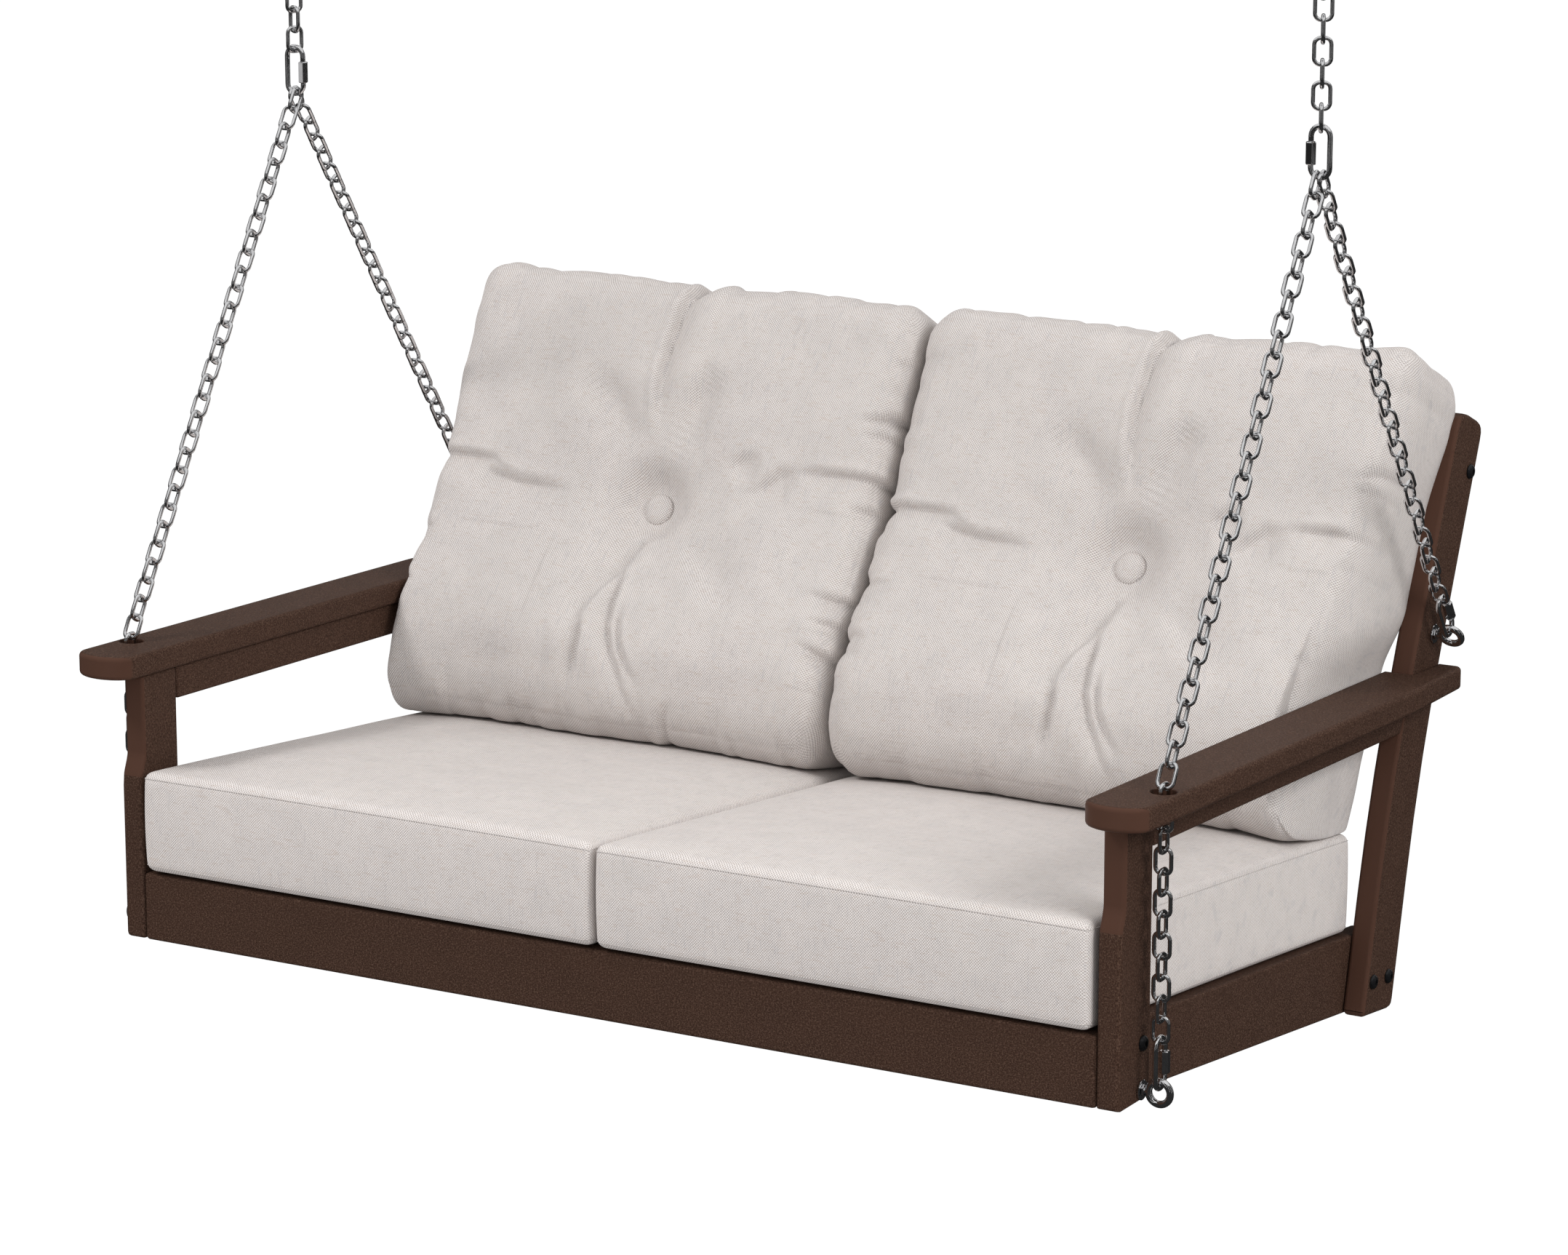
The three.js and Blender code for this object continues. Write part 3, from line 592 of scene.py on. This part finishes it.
def chain_run(path, count, first_wide, shift_first=0.0, twist=0.0):
    """Interlocked links between two wires of 3 mm that the path joins; links turn a quarter each."""
    total = sum((b - a).length for a, b in zip(path, path[1:]))
    pitch = (total + 6.0) / count
    outline = link_outline(HALF_WIDTH, (pitch + 2 * WIRE) / 2, LINK_CORNER, 5)
    link = tube(outline, WIRE, 10, Vector((0, 1, 0)))
    shapes = []
    for k in range(count):
        a = point_along(path, -3.0 + k * pitch)
        b = point_along(path, -3.0 + (k + 1) * pitch)
        middle = (a + b) / 2
        up = (a - b).normalized()
        side = Vector((1, 0, 0))
        if not first_wide ^ (k % 2 == 1):
            side = up.cross(Vector((1, 0, 0))).normalized()
        if k == 0:
            middle.x += shift_first
        turn = Matrix((side, up.cross(side), up)).transposed().to_4x4()
        spin = Matrix.Rotation(twist, 4, "Z")
        shapes.append(transformed(link, Matrix.Translation(middle) @ turn @ spin))
    return merged(shapes)


def finish_piece(name, shape, mirror, body, replaced, material):
    """Places a piece given in the seat's millimetres for the right side, mirrored for the left."""
    vertices, faces = shape
    placed = [P(v.x * mirror, v.y, v.z) for v in vertices]
    if mirror < 0:
        faces = [tuple(reversed(face)) for face in faces]
    obj = mesh_object(name, placed, faces, material)
    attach(obj, body)
    if replaced:
        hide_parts(replaced)
    return obj


rear_up = (PIVOT - REAR_EYE).normalized()
front_top_wire = FRONT_EYE + Vector((0, 0, EYE_HOLD + LINK_REACH))
rear_top_wire = REAR_EYE + rear_up * (EYE_HOLD + LINK_REACH)
arm_bend = Vector((CHAIN_X, 52, 343.2))
upper_wire = PIVOT + Vector((0, 0, LINK_REACH))
top_link_wire = Vector((CHAIN_X, CHAIN_Y, 1113.0))


def quick_link():
    """Open wire loop in the XZ plane, its gap under the sleeve on the +X side."""
    outline = stadium(11, 27.5, 12)
    ends = [Vector((11, 0, -6)), Vector((11, 0, -12))]
    path = [ends[0]] + outline + [ends[1]]
    return tube(path, 3.0, 14, Vector((0, 1, 0)), closed=False)


def sleeve():
    """Hexagonal threaded sleeve, its ends chamfered, on the wire at x = 11."""
    sides = 6
    flats = 10.4
    corner = flats / 2 / math.cos(math.pi / 6)
    low, high = -14.0, 10.5
    rings = [(3.35, low), (corner - 1.0, low), (corner, low + 0.8)]
    rings += [(corner, high - 0.8), (corner - 1.0, high), (3.35, high)]
    vertices, faces = [], []
    for radius, height in rings:
        for k in range(sides):
            angle = 2 * math.pi * k / sides
            x, y = 11 + radius * math.cos(angle), radius * math.sin(angle)
            vertices.append(Vector((x, y, height)))
    count = len(rings)
    for i in range(count):
        j = (i + 1) % count
        for k in range(sides):
            m = (k + 1) % sides
            faces.append((i * sides + k, i * sides + m, j * sides + m, j * sides + k))
    return vertices, faces


def at(position, turn_x, turn_z):
    return Matrix.Translation(position) @ Matrix.Rotation(turn_x, 4, "X") @ Matrix.Rotation(turn_z, 4, "Z")


def ring_of_wire(radius, wire, steps=40):
    path = []
    for i in range(steps):
        angle = 2 * math.pi * i / steps
        path.append(Vector((radius * math.cos(angle), 0, radius * math.sin(angle))))
    return tube(path, wire, 14, Vector((0, 1, 0)))


def hexagon(flats, x0, x1):
    corner = flats / 2 / math.cos(math.pi / 6)
    profile = [(0.0, x0), (corner - 0.9, x0), (corner, x0 + 0.7)]
    profile += [(corner, x1 - 0.7), (corner - 0.9, x1), (0.0, x1)]
    return transformed(lathe(profile, 6), ALONG_X)


def disc(radius, x0, x1, round_edge=0.5, sides=32):
    profile = [(0.0, x0), (radius - round_edge, x0), (radius, x0 + round_edge)]
    profile += [(radius, x1 - round_edge), (radius - round_edge, x1), (0.0, x1)]
    return transformed(lathe(profile, sides), ALONG_X)


def eye_bolt(deep):
    face = 636.6 - CHAIN_X
    back = face - deep
    return merged([
        ring_of_wire(12.5, 4.0),
        disc(4.0, back - 10.3, -12.5, 0.3, 14),
        disc(11.0, face + 0.3, face + 2.3),
        hexagon(12.0, face + 2.3, face + 5.2),
        disc(11.0, back - 2.3, back - 0.3),
        hexagon(14.0, back - 7.3, back - 2.3),
    ])


def button_head():
    """Domed bolt head with a hexagonal socket, its seat on x = 0 and its shank behind."""
    sides = 36
    rings = []
    for radius, x in ((8.2, 0.0), (8.5, 0.5), (8.3, 1.6), (7.4, 3.1), (5.9, 4.2), (4.6, 4.7)):
        rings.append([(radius, x, k) for k in range(sides)])
    hex_ring = []
    for k in range(sides):
        angle = 2 * math.pi * k / sides
        sector = (angle + math.pi / 6) % (math.pi / 3) - math.pi / 6
        hex_ring.append((2.9 / math.cos(sector), 4.85, k))
    rings.append(hex_ring)
    rings.append([(radius * 0.97, 2.4, k) for radius, _, k in hex_ring])
    vertices, faces = [], []
    for ring in rings:
        for radius, x, k in ring:
            angle = 2 * math.pi * k / sides
            vertices.append(Vector((x, radius * math.cos(angle), radius * math.sin(angle))))
    for i in range(len(rings) - 1):
        for k in range(sides):
            m = (k + 1) % sides
            low, high = i * sides, (i + 1) * sides
            faces.append((low + k, low + m, high + m, high + k))
    faces.append(tuple(range(sides - 1, -1, -1)))
    faces.append(tuple(range((len(rings) - 1) * sides, len(rings) * sides)))
    return vertices, faces


def bolt_piece(y, z):
    head = transformed(button_head(), Matrix.Translation((636.9, y, z)))
    shank = transformed(disc(4.0, -51.0, 0.2, 0.3, 14), Matrix.Translation((636.7, y, z)))
    return merged([head, shank])


half_reach = LINK_REACH / 2 + EYE_HOLD
rear_turn = math.atan2(-rear_up.y, rear_up.z)
HOOK_Z = 1146.4
BOLTS = (
    # name, y, z, and whether the CAD has it
    ("leg_top_bolt", 880, 519.5, True),
    ("post_bolt", 53, 62, True),
    ("leg_foot_bolt_front", 642, -29, False),
    ("leg_foot_bolt_rear", 684, -33, False),
)


def split_edges(obj, degrees):
    obj.modifiers.new("split", "EDGE_SPLIT").split_angle = math.radians(degrees)


def ceiling_hook():
    plate = [(0.0, 21.0), (29.0, 21.4), (31.6, 22.8), (32.0, 24.0), (32.0, 25.6), (31.4, 26.5), (0.0, 26.5)]
    neck = [(0.0, 12.5), (4.6, 12.5), (5.0, 17.0), (5.0, 22.0), (0.0, 22.0)]
    return merged([ring_of_wire(12.5, 4.0), lathe(neck, 24), lathe(plate, 48)])


def chains(side, mirror):
    front = chain_run([PIVOT, arm_bend, front_top_wire], 42, False, -2.8)
    rear = chain_run([PIVOT, rear_top_wire], 28, False, 2.8)
    upper = chain_run([top_link_wire, upper_wire], 6, True, 0.0, math.radians(26))
    top = tube(link_outline(HALF_WIDTH, 13.9, LINK_CORNER, 5), WIRE, 10, Vector((0, 1, 0)))
    top = transformed(top, at(Vector((CHAIN_X, CHAIN_Y, 1126.9)), 0, math.pi / 2))
    for name, shape, body, node in (
        ("_front_chain_links", front, "seat", "_front_chain"),
        ("_rear_chain_links", rear, "seat", "_rear_chain"),
        ("_upper_chain_links", upper, side + "_upper_chain", "_upper_chain"),
        ("_top_chain_link", top, "top_links", "_top_link"),
    ):
        finish_piece(side + name, shape, mirror, body, side + node, bright)


def quick_links(side, mirror):
    spots = {
        "front": (FRONT_EYE + Vector((0, 0, half_reach)), 0.0, math.pi / 2, "seat"),
        "rear": (REAR_EYE + rear_up * half_reach, rear_turn, math.pi / 2, "seat"),
        "upper": (PIVOT + Vector((0, 0, LINK_REACH / 2)), 0.0, math.pi, side + "_upper_link"),
    }
    for where, (position, turn_x, turn_z, body) in spots.items():
        node = side + "_" + where + "_quick_link"
        place = at(position, turn_x, turn_z)
        wire = transformed(quick_link(), place)
        finish_piece(node + "_wire", wire, mirror, body, node, bright)
        body = side + "_" + where + "_sleeve"
        nut = transformed(sleeve(), place)
        nut = finish_piece(node + "_nut", nut, mirror, body, node + "_sleeve", bright)
        nut.data.shade_flat()


def fittings(side, mirror):
    front_eye = transformed(eye_bolt(54.3), Matrix.Translation(FRONT_EYE))
    rear_eye = transformed(eye_bolt(27.0), at(REAR_EYE, rear_turn, 0))
    hook = transformed(ceiling_hook(), Matrix.Translation((CHAIN_X, CHAIN_Y, HOOK_Z)))
    for name, shape, body in (
        ("_front_eye_bolt", front_eye, "seat"),
        ("_rear_eye_bolt", rear_eye, "seat"),
        ("_ceiling_hook", hook, "ceiling"),
    ):
        node = side + name
        piece = finish_piece(node + "_forged", shape, mirror, body, node, bright)
        split_edges(piece, 40)
    for name, y, z, in_cad in BOLTS:
        node = side + "_" + name
        replaced = node if in_cad else None
        bolt = finish_piece(node + "_head", bolt_piece(y, z), mirror, "seat", replaced, black)
        split_edges(bolt, 35)


for side, mirror in SIDES:
    chains(side, mirror)
    quick_links(side, mirror)
    fittings(side, mirror)


# ---------------------------------------------------------------- cushions
def smooth_step(a, b, t):
    t = np.clip((t - a) / (b - a), 0, 1)
    return t * t * (3 - 2 * t)


def spaced(count, tight):
    """From 0 to 1, closer together towards both ends."""
    t = np.linspace(0, 1, count)
    return t * (1 - tight) + tight * (0.5 - 0.5 * np.cos(math.pi * t))


def box_surface(us, vs, ws):
    """Points, grid keys and quads over a unit box, its faces sharing their edges."""
    index, points, quads = {}, [], []

    def corner(i, j, k):
        key = (i, j, k)
        if key not in index:
            index[key] = len(points)
            points.append((us[i], vs[j], ws[k]))
        return index[key]

    nu, nv, nw = len(us) - 1, len(vs) - 1, len(ws) - 1
    for i in range(nu):
        for j in range(nv):
            for k in (0, nw):
                quad = corner(i, j, k), corner(i + 1, j, k), corner(i + 1, j + 1, k), corner(i, j + 1, k)
                quads.append(quad if k else quad[::-1])
    for i in range(nu):
        for k in range(nw):
            for j in (0, nv):
                quad = corner(i, j, k), corner(i + 1, j, k), corner(i + 1, j, k + 1), corner(i, j, k + 1)
                quads.append(quad[::-1] if j else quad)
    for j in range(nv):
        for k in range(nw):
            for i in (0, nu):
                quad = corner(i, j, k), corner(i, j + 1, k), corner(i, j + 1, k + 1), corner(i, j, k + 1)
                quads.append(quad if i else quad[::-1])
    return np.array(points), index, quads


def rounded(points, size, radius):
    """The box's points on a box with round edges, and the way out of the surface at each."""
    p = points * size
    q = np.clip(p, radius, size - radius)
    d = p - q
    length = np.linalg.norm(d, axis=1, keepdims=True)
    out = d / np.maximum(length, 1e-9)
    return q + out * radius, out


def wavering(values, seed, scale):
    spots = [Vector((a * scale + seed, b * scale, c * scale)) for a, b, c in values]
    return np.array([noise.noise(spot) for spot in spots])


def finish_cushion(obj, node, levels=1):
    if levels:
        sub = obj.modifiers.new("smooth", "SUBSURF")
        sub.levels = sub.render_levels = levels
    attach(obj, "seat")
    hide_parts(node)


SEAT_WIDE, SEAT_LONG, SEAT_THICK, SEAT_CROWN = 601.5, 656.0, 117.5, 11.0
SEAT_GAP, SEAT_OVERHANG = 2.0, 8.0


def seat_crown(x, y):
    u = np.clip((x - SEAT_GAP) / SEAT_WIDE, 0, 1)
    v = np.clip((y + SEAT_OVERHANG) / SEAT_LONG, 0, 1)
    return SEAT_CROWN * (1 - (2 * u - 1) ** 6) * (1 - (2 * v - 1) ** 6)


def seat_top(x, y):
    return SEAT_BASE - SEAT_SLOPE * y + SEAT_THICK + seat_crown(x, y)


def seat_cushion(side, mirror):
    """Boxed cushion with sewn edges, a low crown and slightly slack sides."""
    across, along, up = spaced(75, 0.5), spaced(79, 0.5), spaced(19, 0.6)
    points, index, quads = box_surface(across, along, up)
    u, v, w = points.T
    p, _ = rounded(points, np.array([SEAT_WIDE, SEAT_LONG, SEAT_THICK]), 11.0)
    lift = smooth_step(0.2, 0.95, w)
    belly = np.sin(math.pi * w) * 3.0
    slack_u = 1 - (2 * u - 1) ** 2
    slack_v = 1 - (2 * v - 1) ** 2
    p[:, 0] += np.where(u < 0.5, -1, 1) * (np.abs(2 * u - 1) ** 10) * (belly - 3.0) * slack_v
    p[:, 1] += np.where(v < 0.5, -1, 1) * (np.abs(2 * v - 1) ** 10) * (belly - 1.0 - 1.5 * slack_u)
    ripple = wavering(p * (1, 1, 2), 11.0 if mirror > 0 else 47.0, 0.007)
    calm = 1 - smooth_step(400, 520, p[:, 1])
    inside = np.clip((1 - (2 * u - 1) ** 8) * (1 - (2 * v - 1) ** 8), 0, 1)
    p[:, 2] += ripple * (1 + 2.5 * calm) * lift * inside
    x, y = SEAT_GAP + p[:, 0], -SEAT_OVERHANG + p[:, 1]
    z = SEAT_BASE - SEAT_SLOPE * y + p[:, 2] + seat_crown(x, y) * lift
    vertices = [P(a * mirror, b, c) for a, b, c in zip(x, y, z)]
    faces = [f[::-1] for f in quads] if mirror < 0 else quads
    obj = mesh_object(side + "_seat_cushion_cover", vertices, faces, seat_fabric)
    seams = []
    for k in (2, len(up) - 3):
        nu, nv = len(across) - 1, len(along) - 1
        ring = [(i, 0) for i in range(nu)] + [(nu, j) for j in range(nv)]
        ring += [(i, nv) for i in range(nu, 0, -1)] + [(0, j) for j in range(nv, 0, -1)]
        path = [vertices[index[(i, j, k)]] * 1000 for i, j in ring]
        seams.append(tube([Vector(point) for point in path], 0.5, 6, Vector((0, 0, 1))))
    cord_points, cord_faces = merged(seams)
    cord_points = [point * 0.001 for point in cord_points]
    cord = mesh_object(side + "_seat_cushion_seams", cord_points, cord_faces, seam_fabric)
    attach(cord, "seat")
    finish_cushion(obj, side + "_seat_cushion")


# The back cushion's own axes: up its leaning middle plane, and out of its front.
SEAM_LOW = Vector((0, 556, 152))
SEAM_UP = Vector((0, BACK_RUN, BACK_RISE)).normalized()
SEAM_OUT = Vector((0, -SEAM_UP.z, SEAM_UP.y))
BUTTON_AT = 316.0, 275.0
BUTTON_SHIFT = 6.0
BACK_SIZE = np.array([636.0, 561.0, 172.0])
BACK_REAR = 92.0

# Folds of the front panel: points (across from the button, up the panel), depth and half width in mm, how the
# start fades in, and the side that slopes gently (1 left of the way the fold runs, -1 right of it).
CREASES = (
    (((-6, 575), (-8, 545), (-12, 515), (-16, 464), (-14, 415), (-10, 380), (-4, 345)), 10, 4.6, 0.0, 1),
    (((-128, 440), (-72, 388), (-22, 330)), 8, 22, 0.5, 0),
    (((66, 452), (44, 405), (18, 330)), 9, 22, 0.5, 0),
    (((-325, 306), (-290, 305), (-256, 304), (-219, 303), (-184, 286)), 8, 4.4, 0.0, -1),
    (((-240, 292), (-210, 284), (-176, 278), (-130, 277), (-92, 276)), 8, 6, 0.3, -1),
    (((325, 334), (300, 333), (262, 332), (220, 331), (179, 328)), 8, 4.6, 0.0, 1),
    (((205, 326), (179, 322), (152, 301), (114, 287)), 7, 9, 0.4, 1),
    (((150, 347), (122, 336), (100, 322)), 6, 8, 0.5, 1),
    (((4, 238), (-4, 199), (-24, 160), (-33, 126), (-31, 100)), 11, 8, 0.2, -1),
    (((-28, 122), (-22, 92), (-24, 66), (-34, 30)), 9, 3.4, 0.3, -1),
    (((2, 190), (6, 165), (8, 140), (12, 109), (24, 79), (46, 42), (76, 6)), 9, 3.6, 0.2, -1),
    (((22, 150), (26, 120), (34, 92), (52, 62), (74, 40)), 6, 3.4, 0.4, -1),
    (((70, 232), (95, 208), (135, 176), (187, 137)), 7, 11, 0.4, 1),
    (((90, -20), (100, 22), (116, 44)), 2.5, 5, 0.0, 0),
    (((330, 186), (296, 180), (250, 184)), 7, 4.5, 0.0, 1),
    (((330, 150), (300, 150), (262, 152)), 6, 4.5, 0.0, 1),
    (((330, 110), (296, 112), (258, 124)), 7, 4.5, 0.0, 1),
    (((330, 414), (300, 410), (256, 396)), 7, 4.5, 0.0, 1),
    (((330, 386), (300, 388), (262, 384)), 6, 5, 0.0, 1),
    (((330, 292), (300, 296), (268, 292)), 5, 4.5, 0.0, 1),
    (((-330, 214), (-300, 208), (-262, 212)), 5, 5, 0.0, -1),
    (((-330, 136), (-302, 142), (-270, 138)), 5, 5, 0.0, -1),
)


def crease_depth(across, up, creases):
    """Depth of the folds at points of the panel; each fades at its far end, some at their start too."""
    depth = np.zeros_like(across)
    for points, deep, half, start, gentle in creases:
        line = np.array(points, float)
        fine = [line[0]]
        for a, b in zip(line, line[1:]):
            fine += [a + (b - a) * t for t in np.linspace(0, 1, 9)[1:]]
        fine = np.array(fine)
        ahead = np.gradient(fine, axis=0)
        ahead /= np.linalg.norm(ahead, axis=1, keepdims=True)
        part = np.linspace(0, 1, len(fine))
        low, high = fine.min(axis=0) - 9 * half, fine.max(axis=0) + 9 * half
        in_width = (across > low[0]) & (across < high[0])
        close = np.where(in_width & (up > low[1]) & (up < high[1]))[0]
        if not len(close):
            continue
        gap_x = across[close, None] - fine[None, :, 0]
        gap_y = up[close, None] - fine[None, :, 1]
        away = np.hypot(gap_x, gap_y)
        nearest = away.argmin(axis=1)
        row = np.arange(len(close))
        side_x, side_y = gap_x[row, nearest], gap_y[row, nearest]
        left = ahead[nearest, 0] * side_y - ahead[nearest, 1] * side_x
        past = np.abs(ahead[nearest, 0] * side_x + ahead[nearest, 1] * side_y) - 5.0
        near = np.hypot(left, np.maximum(past, 0))
        wide = np.where(left * gentle > 0, 3.4 * half, half)
        at = part[nearest]
        fade = smooth_step(0, 0.45, 1 - at)
        if start:
            fade *= smooth_step(0, start, at + 0.02)
        sharp = 1.15 if half < 7 else 2.0
        groove = np.exp(-((near / wide) ** sharp))
        ridge = 0.2 * np.exp(-(((near - 2.4 * wide) / (1.2 * wide)) ** 2))
        depth[close] += deep * fade * (groove - ridge)
    return depth


def pucker_creases(seed):
    """Short gathers all round the panel's edge, at uneven spacing, leaning a little each way."""
    rng = np.random.default_rng(seed)
    width, height = BACK_SIZE[0], BACK_SIZE[1]
    found = []
    for edge in range(4):
        length = height if edge % 2 else width
        at = rng.uniform(12, 40)
        while at < length - 12:
            reach, lean = rng.uniform(35, 95), rng.uniform(-16, 16)
            deep, half = rng.uniform(1.0, 3.6), rng.uniform(4.5, 9.0)
            if edge == 2:
                reach, deep = reach * 0.6, deep * 0.8
            if edge == 0:
                line = ((at - width / 2, -25), (at - width / 2 + lean, reach * 0.7))
            elif edge == 1:
                line = ((width / 2 + 25, at), (width / 2 - reach * 0.8, at + lean))
            elif edge == 2:
                line = ((at - width / 2, height + 25), (at - width / 2 + lean, height - reach * 0.7))
            else:
                line = ((-width / 2 - 25, at), (-width / 2 + reach * 0.8, at + lean))
            middle = ((line[0][0] + line[1][0]) / 2 + lean * 0.2, (line[0][1] + line[1][1]) / 2)
            found.append(((line[0], middle, line[1]), deep, half, 0.0, int(rng.integers(-1, 2))))
            at += rng.uniform(26, 70)
    return found


def back_cushion(side, mirror):
    """Plump pillow with gathered edges, drawn in by a covered button, squeezed between its neighbours."""
    fine = 2.8
    across, along = spaced(int(96 * fine), 0.35), spaced(int(86 * fine), 0.35)
    points, _, quads = box_surface(across, along, spaced(int(15 * fine), 0.5))
    u, v, w = points.T
    p, out = rounded(points, BACK_SIZE, 46.0)
    front = smooth_step(0.35, 0.8, w)
    rear = 1 - smooth_step(0.2, 0.6, w)
    dx = (p[:, 0] - BACK_SIZE[0] / 2) * mirror
    up = p[:, 1]
    plump_u = 1 - np.abs(2 * u - 1) ** 3.2
    plump_v = 1 - np.abs(2 * v - 1) ** 3.2
    reach = np.hypot(dx - BUTTON_SHIFT, up - BUTTON_AT[1])
    past = np.maximum(reach - 21, 0)
    dimple = 27 * np.exp(-((past / 26) ** 2)) + 25 * np.exp(-((past / 92) ** 2))
    seed = 3.0 if mirror > 0 else 29.0
    offset = (10 * front + 6 * rear) * plump_u * plump_v
    offset -= dimple * front + 22 * np.exp(-((reach / 60) ** 2)) * rear
    offset -= crease_depth(dx - 6, up, CREASES) * 1.4 * front
    offset -= crease_depth(dx, up, pucker_creases(int(seed))) * smooth_step(0.0, 0.5, w)
    calm = smooth_step(18, 60, reach)
    offset += (wavering(p, seed, 0.0075) * 5.0 + wavering(p, seed + 9, 0.02) * 1.8) * calm
    p = p + out * offset[:, None]
    sag = np.exp(-(((up - 92) / np.where(up < 92, 78, 120)) ** 2)) * 32 * front
    x = p[:, 0] - 2.0
    t = p[:, 2] - BACK_REAR + sag
    s = p[:, 1] - 12 * front * (1 - smooth_step(0, 70, p[:, 1]))
    s += 9 * smooth_step(0.8, 0.97, u) * smooth_step(0.75, 1.0, v)
    y = SEAM_LOW.y + s * SEAM_UP.y + t * SEAM_OUT.y
    z = SEAM_LOW.z + s * SEAM_UP.z + t * SEAM_OUT.z
    # The outer side keeps inside the arm, bulges over it, and is drawn in towards the front.
    arm_top = ARM_LOW + ARM_THICK + 0.3 + ARM_SLOPE * y
    limit = 600 + 20 * smooth_step(arm_top - 4, arm_top + 70, z)
    limit += 20 * smooth_step(arm_top + 170, arm_top + 290, z)
    limit += 5 * (1 - smooth_step(arm_top - 125, arm_top - 75, z)) * (1 - smooth_step(560, 620, y))
    low_pull, high_pull = (30, 44) if mirror > 0 else (0, 24)
    pull = low_pull + (high_pull - low_pull) * smooth_step(arm_top, arm_top + 60, z)
    limit -= pull * (1 - np.sqrt(1 - np.clip((t + 12) / 104, 0, 0.99) ** 2))
    over = x - limit
    x = np.where(over > -26, limit - 26 + 26 * np.tanh(np.clip((over + 26) / 26, 0, 4)), x)
    # The inner side keeps off the other cushion, and the bottom rests on the seat.
    inside = 1.0 - x
    x = np.where(inside > -5, 1.0 + 5 - 5 * np.tanh(np.clip((inside + 5) / 10, 0, 4)), x)
    rest = seat_top(x, y) + 1.2
    z = np.where(z < rest + 4, rest + 4 * np.exp(np.clip((z - rest - 4) / 4, -6, 0)), z)
    vertices = [P(a * mirror, b, c) for a, b, c in zip(x, y, z)]
    faces = quads if mirror < 0 else [f[::-1] for f in quads]
    obj = mesh_object(side + "_back_cushion_cover", vertices, faces, back_fabric)
    finish_cushion(obj, side + "_back_cushion", levels=0)
    cover_button(side, mirror)


def cover_button(side, mirror):
    """The covered button, a low dome, at the bottom of its dimple."""
    profile = [(0.0, 0.0), (17.0, 0.0), (18.8, 1.2), (19.0, 2.6)]
    profile += [(17.6, 4.4), (13.0, 6.2), (7.0, 7.2), (0.0, 7.5)]
    turn = Matrix((Vector((1, 0, 0)), SEAM_UP, SEAM_OUT)).transposed().to_4x4()
    spot = SEAM_LOW + SEAM_UP * BUTTON_AT[1] + SEAM_OUT * 40.0
    place = Matrix.Translation((BUTTON_AT[0] + BUTTON_SHIFT * mirror, spot.y, spot.z)) @ turn
    shape = transformed(lathe(profile, 40), place)
    node = side + "_cushion_button"
    name = side + "_covered_button"
    button = finish_piece(name, shape, mirror, "seat", node, back_fabric)


for side, mirror in SIDES:
    seat_cushion(side, mirror)
    back_cushion(side, mirror)


# ---------------------------------------------------------------- floor
def stage_material(name, tone, glow):
    material, tree, shader, coords = new_material(name)
    patch = noise_texture(tree, coords.outputs["Object"], 3.0, 2.0)
    low = (tone, tone, tone)
    high = (tone * 1.02, tone * 1.02, tone * 1.02)
    tree.links.new(ramp_of(tree, patch, [(0.3, low), (0.7, high)]), shader.inputs["Base Color"])
    shader.inputs["Roughness"].default_value = 1.0
    shader.inputs["Specular IOR Level"].default_value = 0.0
    shader.inputs["Emission Color"].default_value = (1, 1, 1, 1)
    shader.inputs["Emission Strength"].default_value = glow
    return material


def sheet_of(name, corners, material):
    return mesh_object(name, corners, [(0, 1, 2, 3)], material)


def level_square(name, reach, height, material):
    corners = [(x * reach, y * reach, height) for x, y in ((-1, -1), (1, -1), (1, 1), (-1, 1))]
    return sheet_of(name, corners, material)


FLAG_RING, FLAG_LOW, FLAG_HIGH = 5, -3, 2.4  # metres
floor_z = P(0, 0, -360).z
floor = level_square("floor", 40, floor_z, stage_material("white_floor", 0.02, 1.02))
floor.visible_diffuse = False
floor.visible_glossy = False
floor.visible_shadow = False

# Dark flags that only the bright metal mirrors: a ring of upright panels, and one below. Each upright one
# has the direction it stands in and how much of the ring it covers, in degrees.
dark = stage_material("dark_flag", 0.02, 0.0)
flags = [level_square("flag_below", 6, floor_z + 0.05, dark)]
ring = ((8, 38), (58, 36), (106, 40), (154, 36), (202, 42), (250, 36), (288, 26), (324, 36))
for number, (turn, wide) in enumerate(ring):
    ends = []
    for angle in (turn - wide / 2, turn + wide / 2):
        ends.append((FLAG_RING * math.cos(math.radians(angle)), FLAG_RING * math.sin(math.radians(angle))))
    corners = [(*end, FLAG_LOW) for end in ends] + [(*end, FLAG_HIGH) for end in reversed(ends)]
    flags.append(sheet_of("flag_%d" % number, corners, dark))
for flag in flags:
    flag.visible_camera = False
    flag.visible_diffuse = False
    flag.visible_shadow = False
    flag.visible_transmission = False
